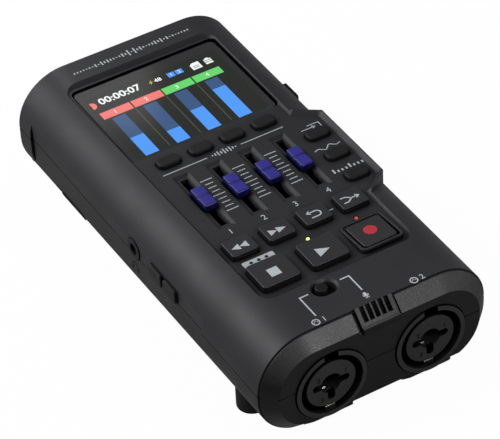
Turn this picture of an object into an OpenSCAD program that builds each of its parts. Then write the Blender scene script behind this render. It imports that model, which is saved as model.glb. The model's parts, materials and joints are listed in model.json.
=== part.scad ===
// Handheld multitrack audio recorder: screen, four faders and keys on top, two combination jacks in front.
// X runs to the right, Y from the jack end to the screen end, Z up, and the feet stand on Z = 0.

/* [Casing] */
// Overall length with the front bezel
length = 140; // [138:1:150]
// Width of the casing
case_w = 72; // [71:0.5:76]
// Radius of the rounded long sides
side_r = 15.8; // [15.4:0.1:16]
// Height of the casing top above the table
top_z = 36.2; // [35.6:0.2:39]
// Height of the underside above the table at the jack end
bottom_z = 2.5; // [2.3:0.1:3]
// Slope of the underside towards the screen end, in degrees
bottom_tilt = 0.84; // [0.6:0.02:0.9]
// Wall thickness of the shells
wall = 2; // [1.8:0.1:2.2]
// Step at the open front edge of the shells
front_lip = 0.5; // [0.4:0.1:0.8]
// Depth of the flat cut along each long side
side_flat = 0.8; // [0.6:0.1:1]
// Y where the flat side cuts begin
flat_front = -36.5; // [-38:0.5:-30]
// Length of rim beyond the flat side cuts at the screen end
flat_rim = 7; // [5:0.5:9]
// Gap between the upper and lower shells
seam_gap = 0.3; // [0.2:0.05:0.35]

/* [Front bezel and jacks] */
// Depth of the front bezel, which is also its slanted edge
bezel_d = 3.8; // [3:0.1:4.2]
// Depth of the parting line across the bezel
line_d = 0.4; // [0.3:0.05:0.6]
// Half the distance between the two jacks
jack_x = 15.7; // [15:0.1:15.9]
// Height of the jack centres
jack_z = 18; // [17.5:0.1:18]
// Radius of a jack's front ring
jack_ring_r = 11; // [10.6:0.1:11.2]
// Clearance of a jack's ring in the bezel
jack_gap = 0.3; // [0.2:0.05:0.4]
// Outer radius of the plug groove in a jack
groove_r = 9.6; // [9.2:0.1:9.8]
// Depth of the plug groove
groove_d = 12; // [10:0.5:14]
// Radius of a jack's inner insert
insert_r = 7.62; // [7.4:0.02:7.8]
// Distance of the pin holes from the middle of the insert
pin_ring = 4.6; // [4.5:0.05:4.8]
// Radius of a pin hole
pin_r = 1.15; // [1:0.05:1.3]
// Depth of the slots that join the pin holes to the bore
lobe_d = 1.5; // [1:0.1:2]
// Radius of the phone plug bore
phone_r = 3.2; // [3.18:0.01:3.3]
// Length of the jack housing behind the bezel
jack_l = 22; // [20:0.5:24]
// Half the width of the jack housing
jack_half_w = 12; // [11.8:0.1:12.4]
// Distance of the housing's underside below the jack centre
jack_down = 10.5; // [10.2:0.1:10.6]

/* [Panel] */
// Depth of the panel below the casing top, with walls at 45 degrees
panel_depth = 1.2; // [0.8:0.1:1.3]
// Thickness of the panel plate
plate_t = 2; // [1.8:0.1:2.2]
// Length of the plain deck between the bezel and the panel
deck_l = 17.2; // [16:0.2:18]
// Right edge of the panel's floor from the centre line
panel_right = 23.8; // [23.6:0.1:24.2]
// Left edge of the panel's floor from the centre line, beside the screen
panel_left = 24.7; // [24.5:0.1:25]
// How far the left edge draws in at the jack end
panel_draw = 2; // [1:0.1:2.4]
// Corner radius of the panel
panel_r = 3; // [2:0.2:4]
// Outer edge of the raised wing from the centre line
wing_x = 32; // [31.8:0.1:32.4]
// Distance of the wing's floor from its outer edge
wing_rim = 1.5; // [1.4:0.1:1.8]
// Corner radius of the wing
wing_r = 1.2; // [0.8:0.1:1.4]
// Length of the wing's outer edge
wing_l = 32; // [31:0.5:34]
// Length along Y of the slanted ends of the wing
wing_slant = 6; // [5:0.5:7]
// Room between the panel plate and the main board
board_gap = 2.8; // [2.6:0.1:3.2]
// Thickness of the main board
board_t = 1.2; // [1:0.1:1.4]

/* [Screen] */
// Width of the screen window
window_w = 47.6; // [46:0.2:48]
// Height of the screen window
window_h = 37.9; // [36:0.1:38]
// Corner radius of the screen window
window_r = 2; // [1:0.2:3]
// Thickness of the screen window
window_t = 1; // [0.8:0.1:1.2]
// Depth of the window below the panel
window_drop = 0.2; // [0.1:0.1:0.5]
// Distance between the track keys' centres and the window
window_near = 5.1; // [4.8:0.1:6]
// Gap around the window
window_gap = 0.3; // [0.2:0.05:0.4]
// Rim between the window and the far edge of the panel's floor
window_rim = 1.2; // [0.8:0.1:1.6]
// Width of the display module
lcd_w = 45; // [44:0.5:46]
// Height of the display module
lcd_h = 35; // [34:0.5:36]
// Width of the seat under the window
window_seat = 2; // [1.8:0.1:2.4]

/* [Faders] */
// Distance between fader slots
fader_pitch = 10.4; // [10:0.1:10.6]
// Travel of a fader to each side of its middle
fader_throw = 7.3; // [6.5:0.1:7.5]
// Distance of the faders' middle from the front of the panel
fader_y = 44.7; // [44:0.1:46]
// Width of a fader slot
slot_w = 2.3; // [2.1:0.1:2.5]
// Room left in a slot beyond each end of a lever's travel
slot_room = 1.05; // [0.8:0.05:1.2]
// Width of the shallow pocket around a slot
pocket_w = 5.3; // [5.1:0.1:5.6]
// Rim of that pocket beyond each end of the slot
pocket_rim = 1.75; // [1.5:0.05:1.9]
// Depth of that pocket
pocket_d = 0.6; // [0.3:0.1:0.7]
// Run of that pocket's sloping walls
pocket_run = 1; // [0.8:0.05:1.2]
// Width of a fader cap's top
cap_w = 3.8; // [3.4:0.1:4]
// Length of a fader cap's top
cap_l = 8.4; // [8:0.1:9]
// Height of a fader cap above the panel
cap_h = 1.9; // [1.7:0.1:2.4]
// Thickness of a fader lever
lever_w = 1.4; // [1.2:0.1:1.6]
// Length of a fader lever along the slot
lever_l = 6; // [5:0.1:6.4]

/* [Keys] */
// Clearance around every key
key_gap = 0.2; // [0.15:0.05:0.3]
// Travel of a key when pressed
key_travel = 0.6; // [0.4:0.05:0.7]
// Width of the flange that holds a key under the plate
flange_w = 0.6; // [0.5:0.05:0.8]
// Thickness of that flange
flange_t = 0.8; // [0.6:0.05:0.9]
// Width of a rubber key
rubber_w = 7.2; // [6.8:0.1:7.4]
// Height of a rubber key, across the panel
rubber_h = 4.2; // [4:0.1:4.6]
// Rise of a rubber key above the panel
rubber_rise = 1.3; // [1:0.1:1.6]
// Distance of the track keys from the front of the panel
track_y = 64.4; // [64:0.1:65]
// Centre of the function keys from the centre line
function_x = 25.6; // [25.4:0.1:25.7]
// Distance between function keys
function_pitch = 10.4; // [10:0.1:10.6]
// Distance of the middle function key from the front of the panel
function_y = 41.1; // [40.5:0.1:41.5]
// Width of a small key
small_w = 8.4; // [8:0.1:8.8]
// Height of a small key, across the panel
small_h = 7.1; // [6.8:0.1:7.4]
// Rise of a small key
small_rise = 1.8; // [1.4:0.1:2]
// Distance between small keys
small_pitch = 11.77; // [11.5:0.01:12]
// Distance of the small keys from the front of the panel
small_y = 21.6; // [21.2:0.1:22]
// Width of a transport key
big_w = 11.7; // [11.2:0.1:12]
// Height of a transport key, across the panel
big_h = 10.4; // [10:0.1:10.6]
// Rise of a transport key
big_rise = 2; // [1.6:0.1:2.4]
// Distance between transport keys
big_pitch = 15.6; // [15.2:0.1:15.8]
// Distance of the transport keys from the front of the panel
big_y = 7.7; // [7.4:0.1:8]
// Outer size of the ring around the record key
ring_w = 13.5; // [13.2:0.1:13.8]
// Width of that ring
ring_t = 0.8; // [0.7:0.1:1]
// Clear space between that ring and the record key
ring_gap = 0.6; // [0.5:0.05:0.7]
// Rise of that ring at its front
ring_rise = 1.5; // [1.3:0.1:1.8]
// Rise of that ring at its far side
ring_far = 0.3; // [0.2:0.1:0.6]
// Rise of the record key
record_rise = 1.3; // [1.1:0.1:1.5]
// Radius of an indicator light
light_r = 0.8; // [0.7:0.05:0.85]
// Distance of the indicator lights from the front of the panel
light_y = 15.3; // [15.2:0.05:15.4]

/* [Microphone switch] */
// Centre of the switch from the centre line
mic_x = -7.4; // [-8:0.1:-7]
// Distance of the switch from the front edge of the deck
mic_y = 12.2; // [11.5:0.1:12.5]
// Length of its hole
mic_l = 6.8; // [6.6:0.1:7.4]
// Width of its hole
mic_w = 5; // [4.8:0.1:5.4]
// Width of the sloping rim around that hole
mic_rim = 0.7; // [0.5:0.1:0.8]
// Radius of the nub
nub_r = 1.9; // [1.6:0.05:2]
// Travel of the nub
nub_throw = 2; // [1.6:0.1:2.2]

/* [Microphone grille] */
// Width of the grille
grille_w = 11.5; // [11:0.1:12.5]
// Number of slots
grille_n = 5; // [4:1:6]
// Width of a grille slot
grille_slot = 1.4; // [1.2:0.05:1.5]
// Thickness of the grille over the slanted edge
grille_t = 1.1; // [0.9:0.1:1.3]
// Width of the trench at each side of the grille
trench_w = 0.9; // [0.6:0.1:1.2]
// Depth of that trench
trench_d = 0.8; // [0.5:0.1:1]

/* [Sides] */
// Height of the side connectors and side keys
side_z = 22.2; // [22:0.1:22.6]
// Y of the headphone jack
phones_y = 2; // [1.8:0.1:2.2]
// Radius of the headphone jack's nose
phones_nose_r = 3.3; // [3:0.1:3.4]
// Radius of the headphone plug bore
phones_r = 1.8; // [1.76:0.01:1.9]
// Length of a volume key
volume_l = 6.8; // [6.4:0.1:7]
// Width of a volume key
volume_w = 4.4; // [4:0.1:4.6]
// Y midway between the volume keys
volume_y = -15; // [-15.2:0.1:-14.5]
// Distance between the volume keys
volume_pitch = 7.9; // [7.8:0.1:8.2]
// How far the volume keys stand out
volume_rise = 1; // [0.8:0.1:1.2]
// Y of the power switch
power_y = 36.6; // [36:0.2:38]
// Length of the power switch knob
power_l = 7.5; // [7:0.1:8]
// Width of the power switch knob
power_w = 3.4; // [3:0.1:3.6]
// How far the power knob stands out
power_rise = 2.5; // [2.2:0.1:2.6]
// Travel of the power switch
power_throw = 4; // [3:0.5:4]
// Y of the data port
usb_y = 3; // [2:0.5:4]
// Y of the memory card slot
card_y = -14; // [-15:0.5:-13]
// Length of the cover latch
latch_l = 12; // [11:0.5:13]
// Width of the cover latch
latch_w = 2.6; // [2.4:0.1:2.8]
// Y of the cover latch
latch_y = 40; // [38:0.5:42]
// Height of the cover latch
latch_z = 10.5; // [10:0.1:11]
// Travel of the cover latch
latch_throw = 3.5; // [3:0.5:4]
// How far the cover latch stands out
latch_rise = 0.3; // [0.2:0.1:0.5]

/* [Battery bay] */
// Radius of a battery cell
cell_r = 7.25; // [7.1:0.05:7.25]
// Length of a battery cell without its nub
cell_l = 49.5; // [49:0.1:49.5]
// Length of a cell's nub
nub_l = 1; // [0.8:0.1:1]
// Distance between cells
cell_pitch = 14.8; // [14.7:0.05:14.8]
// Height of the cells' axes
cell_z = 11.4; // [11.3:0.05:11.5]
// Room between the cells and the roof of their tray
cell_room = 0.25; // [0.2:0.05:0.4]
// Room for the spring at a cell's flat end
spring_l = 2.7; // [2.4:0.1:3]
// Thickness of a battery contact
contact_t = 0.4; // [0.3:0.05:0.5]
// Thickness of the battery tray's walls
tray_t = 1.5; // [1.3:0.1:1.6]
// Y of the battery tray's front
tray_y = 7.5; // [7:0.1:8]
// Half the width of the battery cover
cover_half = 30; // [29.8:0.1:30]
// Clearance around the battery cover
cover_gap = 0.25; // [0.2:0.05:0.35]

/* [Feet, speaker and screws] */
// Radius of a front foot
foot_r = 4.5; // [4:0.1:5]
// Front foot from the centre line
foot_x = 28.1; // [27.6:0.1:28.4]
// Distance of a front foot from the bezel
foot_y = 17.8; // [17:0.2:19]
// Radius of a rear pad
pad_r = 4; // [3:0.1:4.5]
// Rear pad from the centre line
pad_x = 18; // [14:0.5:18]
// Distance of a rear pad from the screen end
pad_y = 12; // [10:0.5:14]
// Radius of the speaker
speaker_r = 11; // [10:0.5:12]
// Depth of the speaker
speaker_h = 5.5; // [5:0.1:7]
// Y of the speaker
speaker_y = -18; // [-20:0.5:-16]
// Radius of a case screw
screw_r = 0.9; // [0.8:0.05:1]
// Radius of its head
head_r = 1.6; // [1.5:0.05:1.7]
// Height of its head
head_h = 1.5; // [1.3:0.1:1.6]
// Radius of a screw post
post_r = 2.3; // [2.2:0.05:2.4]
// Height of the seats under the screw heads
seat_z = 10.5; // [10:0.1:11]

/* [Hidden] */
$fn = 96;
eps = 0.01;
far_y = length / 2;
face_y = -length / 2;
front_y = face_y + bezel_d;
half_w = case_w / 2;
round_r = min(side_r, (top_z - bottom_z) / 2 - eps);
core_x = half_w - round_r;
curve_z = top_z - round_r;
seam_z = cell_z + cell_r + cell_room + tray_t;
panel_z = top_z - panel_depth;
plate_z = panel_z - plate_t;
board_z = plate_z - board_gap;
board_low = board_z - board_t;
panel_front = front_y + deck_l;
flat_x = half_w - side_flat;
inner_x = half_w - wall;
jack_floor = face_y + groove_d;
jack_back = front_y + jack_l;
board_front = front_y + 9;
board_far = far_y - wall - 2;
board_half = 25;
tab_half = 29.4;
window_z = panel_z - window_drop;
fader_mid = panel_front + fader_y;
fader_low = board_low - 4.8;
slot_l = 2 * (fader_throw + slot_room) + lever_l;
pocket_l = slot_l + 2 * pocket_rim;
fader_xs = [for (k = [0:3]) (k - 1.5) * fader_pitch];
track_row = panel_front + track_y;
window_y = track_row + window_near + window_h / 2;
panel_far = window_y + window_h / 2 + window_rim;
small_xs = [for (k = [0:3]) (k - 1.5) * small_pitch];
small_row = panel_front + small_y;
big_row = panel_front + big_y;
function_mid = panel_front + function_y;
function_ys = [for (k = [0:2]) function_mid + (1 - k) * function_pitch];
wing_mid = function_mid + 2;
wing_wall = 0.2;
wing_angle = atan2(wing_slant, wing_x - panel_right);
record_w = ring_w - 2 * ring_t - 2 * ring_gap;
light_row = panel_front + light_y;
press_gap = 0.15;
key_foot = plate_z - press_gap - flange_t;
switch_top = key_foot - key_travel - press_gap;
mic_row = front_y + mic_y;
slide_gap = 0.3;
grille_open = 0.63;
boss_half = 6.5;
relief = 1.1;
tray_in = tray_y + tray_t;
tray_len = cell_l + nub_l + spring_l + 2 * contact_t;
tray_end = tray_in + tray_len + tray_t;
tray_half = cover_half + 1.3;
tray_room = 0.4;
cover_y = tray_y - 1.5;
screw_x = half_w - 4.5;
far_screw_x = half_w - 3.2;
screw_spots = [[screw_x, front_y + 8.2], [screw_x, front_y + 33.2], [far_screw_x, far_y - 3]];
pilot_l = 5;
standoffs = [[23.3, small_row - 6], [23.3, panel_front + 59], [20, far_y - 6.5], [22, panel_front - 2.6]];
standoff_r = 1.4;
side_plug = inner_x - 3.6;
side_room = 1.2;
knob_plate = 2;
knob_lift = 0.75;

// Extrudes a flat shape drawn in X and Z along Y, from y0 to y1
module along_y(y0, y1) {
    translate([0, y1, 0]) rotate([90, 0, 0]) linear_extrude(y1 - y0) children();
}

// Extrudes a flat shape drawn in Y and Z along X, from x0 to x1
module along_x(x0, x1) {
    translate([x0, 0, 0]) rotate([90, 0, 90]) linear_extrude(x1 - x0) children();
}

// A box given by its two corners
module block(a, b) {
    translate(a) cube(b - a);
}

// A rectangle with rounded corners, centred
module rounded(w, h, r) {
    square([w - 2 * r, h], center = true);
    square([w, h - 2 * r], center = true);
    for (x = [-1, 1], y = [-1, 1]) translate([x * (w / 2 - r), y * (h / 2 - r)]) circle(r);
}

// Section of the upper shell above the seam, drawn inwards by an inset
module upper_section(inset) {
    intersection() {
        union() {
            for (s = [-1, 1]) translate([s * core_x, curve_z]) circle(round_r - inset);
            translate([-core_x, seam_z]) square([2 * core_x, top_z - seam_z - inset]);
            if (curve_z > seam_z + eps) translate([inset - half_w, seam_z])
                square([case_w - 2 * inset, curve_z - seam_z]);
        }
        translate([-half_w, seam_z]) square([case_w, top_z - seam_z]);
    }
}

// Section of the lower shell over its own sloping underside
module lower_section(inset) {
    for (s = [-1, 1]) translate([s * core_x, round_r]) circle(round_r - inset);
    translate([-core_x, inset]) square([2 * core_x, round_r]);
    translate([inset - half_w, round_r]) square([case_w - 2 * inset, round_r]);
}

// Frame of the sloping underside: Y runs along it from the front edge
module tilted() {
    translate([0, front_y, bottom_z]) rotate([-bottom_tilt, 0, 0]) children();
}

// Solid lower half of the casing, drawn inwards by an inset, between two places on Y
module lower_form(inset, y0, y1, top) {
    intersection() {
        tilted() along_y(-10, length + 10) lower_section(inset);
        block([-half_w - 1, y0, -5], [half_w + 1, y1, top]);
    }
}

// A form with straight edges and round corners that widens by a run over a rise. The points are the
// centres of its corners, in counterclockwise order
module flare(points, r, rise, run) {
    linear_extrude(rise) polygon(points);
    for (k = [0:len(points) - 1]) {
        p = points[k];
        way = points[(k + 1) % len(points)] - p;
        translate([p[0], p[1], 0]) {
            cylinder(h = rise, r1 = r, r2 = r + run);
            rotate(atan2(way[1], way[0])) rotate([90, 0, 90]) linear_extrude(norm(way))
                polygon([[eps, 0], [-r, 0], [-r - run, rise], [eps, rise]]);
        }
    }
}

// Corner centres of the panel's floor
function panel_points() = let (near = panel_front + panel_r, far = panel_far - panel_r,
    left = panel_r - panel_left, right = panel_right - panel_r)
    [[left + panel_draw, near], [right, near], [right, far], [left, far]];

// Corners of the raised wing that carries the function keys, drawn inwards by an inset
function wing_points(inset) = let (y0 = wing_mid - wing_l / 2, y1 = wing_mid + wing_l / 2,
    s = inset * tan(45 - wing_angle / 2), t = inset * tan(wing_angle / 2), x0 = panel_right - 6)
    [[x0, y0 - wing_slant + inset], [panel_right - t, y0 - wing_slant + inset],
    [wing_x - inset, y0 + s], [wing_x - inset, y1 - s],
    [panel_right - t, y1 + wing_slant - inset], [x0, y1 + wing_slant - inset]];

// Places copies at the four corners of the upper and lower posts
module at_screws() {
    for (p = screw_spots, s = [-1, 1]) translate([s * p[0], p[1], 0]) children();
}

// Openings in the two long sides, shared by both shells
module side_openings() {
    for (s = [-1, 1]) {
        block([min(s * flat_x, s * (half_w + 1)), flat_front, 0],
            [max(s * flat_x, s * (half_w + 1)), far_y - flat_rim, top_z - 4]);
    }
    translate([-half_w - 1, phones_y, side_z]) rotate([0, 90, 0])
        cylinder(h = 6, r = phones_nose_r + key_gap);
    for (s = [-1, 1]) translate([-half_w - 1, volume_y + s * volume_pitch / 2, side_z]) rotate([90, 0, 90])
        linear_extrude(5) rounded(volume_l + 2 * key_gap, volume_w + 2 * key_gap, 1);
    translate([inner_x - 1, power_y + power_throw / 2, side_z]) rotate([90, 0, 90])
        linear_extrude(5) rounded(power_l + power_throw + 2 * slide_gap, power_w + 2 * slide_gap, 0.8);
    translate([inner_x - 1, usb_y, side_z]) rotate([90, 0, 90]) linear_extrude(5) rounded(9.4, 3.6, 1.7);
    translate([inner_x - 1, card_y, side_z]) rotate([90, 0, 90]) linear_extrude(5) rounded(12.6, 2, 0.6);
}

// Side view of a pocket that is sunk below the panel and widens upwards
function pocket_side(half) = [[pocket_run - half, -pocket_d], [half - pocket_run, -pocket_d],
    [half + pocket_run, pocket_d], [-half - pocket_run, pocket_d]];

// Shallow pocket around a fader slot, with four sloping walls
module fader_pocket() {
    reach = pocket_l;
    intersection() {
        along_y(-reach, reach) polygon(pocket_side(pocket_w / 2));
        along_x(-reach, reach) polygon(pocket_side(pocket_l / 2));
    }
}

// Holes through the panel plate for keys, faders, lights and the window
module panel_holes() {
    low = plate_z - 1;
    tall = top_z + 2 - low;
    for (x = fader_xs) {
        translate([x, track_row, low]) linear_extrude(tall) key_shape(rubber_w, rubber_h, 1.6, key_gap);
        translate([x, fader_mid, low]) linear_extrude(tall) square([slot_w, slot_l], center = true);
        translate([x, fader_mid, panel_z]) fader_pocket();
    }
    for (y = function_ys) translate([function_x, y, low]) linear_extrude(tall)
        key_shape(rubber_w, rubber_h, 1.6, key_gap);
    for (x = small_xs) translate([x, small_row, low]) linear_extrude(tall)
        key_shape(small_w, small_h, 0.8, key_gap);
    for (k = [-1, 0]) translate([k * big_pitch, big_row, low]) linear_extrude(tall)
        key_shape(big_w, big_h, 1, key_gap);
    translate([big_pitch, big_row, low]) linear_extrude(tall) key_shape(record_w, big_h, 1, key_gap);
    for (x = [0, big_pitch]) translate([x, light_row, low]) cylinder(h = tall, r = light_r + eps);
    translate([mic_x, mic_row, low]) linear_extrude(tall) rounded(mic_l, mic_w, mic_w / 2 - eps);
    translate([mic_x, mic_row, top_z - mic_rim]) mic_cone();
    translate([0, window_y, window_z - window_t]) linear_extrude(tall)
        rounded(window_w + 2 * window_gap, window_h + 2 * window_gap, window_r);
    translate([0, window_y, low]) linear_extrude(tall)
        square([window_w - 2 * window_seat, window_h - 2 * window_seat], center = true);
}

// Sloping rim of the microphone switch, cut into the deck
module mic_cone() {
    half = (mic_l - mic_w) / 2;
    r = mic_w / 2;
    for (s = [-1, 1]) translate([s * half, 0, 0]) cylinder(h = 2 * mic_rim, r1 = r, r2 = r + 2 * mic_rim);
    along_x(-half, half) polygon([[-r, 0], [r, 0], [r + 2 * mic_rim, 2 * mic_rim],
        [-r - 2 * mic_rim, 2 * mic_rim]]);
}

// Flat shape of a key, grown all round
module key_shape(w, h, r, grow) {
    rounded(w + 2 * grow, h + 2 * grow, r + grow);
}

// A pressed key: its body through the plate and the flange that holds it
module key(x, y, w, h, r, rise) {
    translate([x, y, key_foot]) {
        linear_extrude(panel_z + rise - key_foot) key_shape(w, h, r, 0);
        linear_extrude(flange_t) key_shape(w, h, r, flange_w);
    }
}

module top_case() {
    color("#3c3c3f") difference() {
        union() {
            difference() {
                union() {
                    along_y(front_y + front_lip, far_y) upper_section(0);
                    along_y(front_y, front_y + front_lip + eps) upper_section(front_lip);
                    translate([0, 0, seam_z + wall]) linear_extrude(top_z - seam_z - wall)
                        polygon(wing_points(0));
                }
                intersection() {
                    along_y(front_y - 1, far_y - wall) upper_section(wall);
                    block([-half_w, front_y - 2, seam_z - 1], [half_w, far_y, plate_z]);
                }
                translate([0, 0, seam_z + 2 * wall]) linear_extrude(plate_z - seam_z - 2 * wall)
                    polygon(wing_points(wing_rim + wing_wall));
            }
            intersection() {
                at_screws() translate([0, 0, seam_z]) cylinder(h = top_z - seam_z, r = post_r);
                along_y(front_y, far_y) upper_section(wall / 2);
            }
            for (p = standoffs, s = [-1, 1]) translate([s * p[0], p[1], board_z])
                cylinder(h = board_gap + eps, r = standoff_r);
        }
        translate([0, 0, panel_z]) {
            flare(panel_points(), panel_r, 2 * panel_depth, 2 * panel_depth);
            flare(wing_points(wing_rim + wing_r), wing_r, 2 * panel_depth, 2 * panel_depth);
        }
        panel_holes();
        side_openings();
        at_screws() translate([0, 0, seam_z - 1]) cylinder(h = pilot_l + 1, r = screw_r + 0.05);
    }
}

module bottom_case() {
    color("#38383a") difference() {
        union() {
            difference() {
                union() {
                    lower_form(0, front_y + front_lip, far_y, seam_z - seam_gap);
                    lower_form(front_lip, front_y, front_y + front_lip + eps, seam_z - seam_gap);
                }
                lower_form(wall, front_y - 1, far_y - wall, seam_z + 1);
            }
            intersection() {
                at_screws() translate([0, 0, 1]) cylinder(h = seam_z - 1, r = post_r);
                lower_form(wall / 2, front_y, far_y, seam_z);
            }
        }
        cover_opening();
        front_relief();
        side_openings();
        block([-half_w - 1, latch_y - latch_l / 2 - slide_gap, latch_z - latch_w / 2 - slide_gap],
            [-inner_x + 4, latch_y + latch_l / 2 + latch_throw + slide_gap,
            latch_z + latch_w / 2 + slide_gap]);
        at_screws() {
            cylinder(h = seat_z, r = head_r + 0.15);
            cylinder(h = seam_z + 1, r = screw_r + 0.15);
        }
        tilted() translate([0, speaker_y - front_y, -1]) {
            cylinder(h = wall + 2, r = 0.8);
            for (a = [0:45:315]) rotate(a) translate([speaker_r * 0.5, 0, 0]) cylinder(h = wall + 2, r = 0.8);
        }
    }
}

// Curved band of the underside that the battery cover fills, between two insets
module cover_band(half, outer, inner, y0, y1) {
    intersection() {
        tilted() along_y(-5, length + 20) difference() {
            lower_section(outer);
            lower_section(inner);
        }
        block([-half, y0, -5], [half, y1, round_r - 2]);
    }
}

module cover_opening() {
    cover_band(cover_half + cover_gap, -1, wall + cover_gap, cover_y - cover_gap, far_y + 1);
}

module battery_cover() {
    color("#38383a") cover_band(cover_half, 0, wall, cover_y, far_y);
}

module cover_latch() {
    y0 = latch_y - latch_l / 2;
    y1 = latch_y + latch_l / 2;
    color("#2c2c2e") intersection() {
        lower_form(-latch_rise, y0, y1, seam_z);
        block([-half_w - 1, y0 - 1, latch_z - latch_w / 2], [-tray_half - 0.6, y1 + 1, latch_z + latch_w / 2]);
    }
}

// Slanted front block: four rounded corners joined by straight stretches
module bezel_form() {
    r1 = round_r - front_lip;
    r2 = r1 - bezel_d;
    zs = [curve_z, bottom_z + round_r];
    for (x = [-core_x, core_x], z = zs) translate([x, front_y, z]) rotate([90, 0, 0])
        cylinder(h = bezel_d, r1 = r1, r2 = r2);
    along_x(-core_x, core_x) polygon([[front_y, zs[0] + r1], [face_y, zs[0] + r2], [face_y, zs[1] - r2],
        [front_y, zs[1] - r1]]);
    translate([0, 0, zs[1]]) linear_extrude(zs[0] - zs[1]) polygon([[-core_x - r1, front_y],
        [-core_x - r2, face_y], [core_x + r2, face_y], [core_x + r1, front_y]]);
}

// Slanted cut under the front edge, left out under each jack so that a flat boss stays there
module front_relief() {
    edges = [-half_w - 1, -jack_x - boss_half, boss_half - jack_x, jack_x - boss_half,
        jack_x + boss_half, half_w + 1];
    rise = bezel_d + front_lip + relief + 1;
    low = bottom_z + front_lip + relief;
    for (k = [0, 2, 4]) along_x(edges[k], edges[k + 1])
        polygon([[front_y + rise, low - rise], [face_y - 1, low + bezel_d + 1], [face_y - 1, low - rise]]);
}

module front_bezel() {
    color("#333335") difference() {
        bezel_form();
        front_relief();
        for (s = [-1, 1]) along_x(s * grille_w / 2 - (1 - s) / 2 * trench_w,
            s * grille_w / 2 + (1 + s) / 2 * trench_w)
            translate([0, -trench_d]) grille_band(-0.2, 1, trench_d + 1);
        for (s = [-1, 1]) translate([s * jack_x, front_y + 1, jack_z]) rotate([90, 0, 0])
            cylinder(h = bezel_d + 2, r = jack_ring_r + jack_gap);
        block([1 - grille_w / 2, face_y - 1, top_z - front_lip - bezel_d],
            [grille_w / 2 - 1, front_y + 1, top_z - front_lip - 1]);
        block([-half_w, face_y - 1, seam_z - seam_gap], [half_w, face_y + line_d, seam_z]);
    }
}

// Side view of the grille, a band over the slanted edge between two shares of its length
module grille_band(t0, t1, thick) {
    run = bezel_d + grille_t;
    y = front_y;
    z = top_z - front_lip;
    polygon([[y - t0 * run, z - t0 * run], [y - t0 * run, z + thick - t0 * run],
        [y - t1 * run, z + thick - t1 * run], [y - t1 * run, z - t1 * run]]);
}

module mic_grille() {
    step = (grille_w - 2) / grille_n;
    foot = top_z - front_lip - bezel_d;
    color("#2a2a2b") difference() {
        along_x(-grille_w / 2, grille_w / 2) difference() {
            union() {
                grille_band(0, 1, grille_t);
                translate([face_y - grille_t, foot - grille_t]) square([grille_t, 2 * grille_t]);
            }
            translate([face_y, 0]) square([bezel_d, foot - eps]);
        }
        for (k = [0:grille_n - 1]) along_x((k - (grille_n - 1) / 2) * step - grille_slot / 2,
            (k - (grille_n - 1) / 2) * step + grille_slot / 2)
            translate([0, -1]) grille_band(-0.2, grille_open, grille_t + 3);
    }
}

module screen_window() {
    color("#101114") translate([0, window_y, window_z - window_t]) linear_extrude(window_t)
        rounded(window_w, window_h, window_r);
}

module lcd_module() {
    color("#26282c") translate([-lcd_w / 2, window_y - lcd_h / 2, board_z]) cube([lcd_w, lcd_h, board_gap]);
}

module main_board() {
    color("#1f5a3c") difference() {
        union() {
            block([-board_half, board_front, board_low], [board_half, board_far, board_z]);
            block([0, wing_mid - wing_l / 2, board_low], [tab_half, wing_mid + wing_l / 2 - 1, board_z]);
        }
        for (x = fader_xs) translate([x, fader_mid, board_low - 1]) linear_extrude(board_t + 2)
            square([slot_w, slot_l], center = true);
    }
}

module fader_tracks() {
    color("#8c8f94") for (x = fader_xs) difference() {
        translate([x, fader_mid, fader_low]) linear_extrude(board_low - fader_low)
            square([slot_w + 5, slot_l + 6], center = true);
        translate([x, fader_mid, fader_low + 1.2]) linear_extrude(board_low - fader_low)
            square([slot_w, slot_l], center = true);
    }
}

module fader_cap(x) {
    base = panel_z + slide_gap;
    top = panel_z + cap_h;
    lever_low = fader_low + 1.2 + slide_gap;
    color("#2b2bb0") {
        difference() {
            union() {
                translate([x, fader_mid, base]) linear_extrude(0.6) rounded(cap_w + 0.8, cap_l + 1.2, 0.6);
                translate([x, fader_mid, base]) linear_extrude(top - base) rounded(cap_w, cap_l, 0.5);
            }
            block([x - cap_w, fader_mid - 0.3, top - 0.4], [x + cap_w, fader_mid + 0.3, top + 1]);
        }
        translate([x, fader_mid, lever_low]) linear_extrude(base - lever_low + eps)
            square([lever_w, lever_l], center = true);
    }
}

module fader_cap_1() { fader_cap(fader_xs[0]); }
module fader_cap_2() { fader_cap(fader_xs[1]); }
module fader_cap_3() { fader_cap(fader_xs[2]); }
module fader_cap_4() { fader_cap(fader_xs[3]); }

module key_switches() {
    spots = concat([for (x = fader_xs) [x, track_row]], [for (y = function_ys) [function_x, y]],
        [for (x = small_xs) [x, small_row]], [for (k = [-1:1]) [k * big_pitch, big_row]]);
    color("#c9cdd2") for (p = spots) translate([p[0], p[1], board_z])
        cylinder(h = switch_top - board_z, r = 1.7);
}

module track_key(k) {
    color("#262627") key(fader_xs[k], track_row, rubber_w, rubber_h, 1.6, rubber_rise);
}

module track_key_1() { track_key(0); }
module track_key_2() { track_key(1); }
module track_key_3() { track_key(2); }
module track_key_4() { track_key(3); }

module function_key(k) {
    color("#262627") key(function_x, function_ys[k], rubber_w, rubber_h, 1.6, rubber_rise);
}

module function_key_1() { function_key(0); }
module function_key_2() { function_key(1); }
module function_key_3() { function_key(2); }

module small_key(k) {
    color("#2b2b2d") key(small_xs[k], small_row, small_w, small_h, 0.8, small_rise);
}

module rewind_key() { small_key(0); }
module forward_key() { small_key(1); }
module undo_key() { small_key(2); }
module merge_key() { small_key(3); }

module stop_key() { color("#2b2b2d") key(-big_pitch, big_row, big_w, big_h, 1, big_rise); }
module play_key() { color("#2b2b2d") key(0, big_row, big_w, big_h, 1, big_rise); }
module record_key() { color("#2b2b2d") key(big_pitch, big_row, record_w, big_h, 1, record_rise); }

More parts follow.
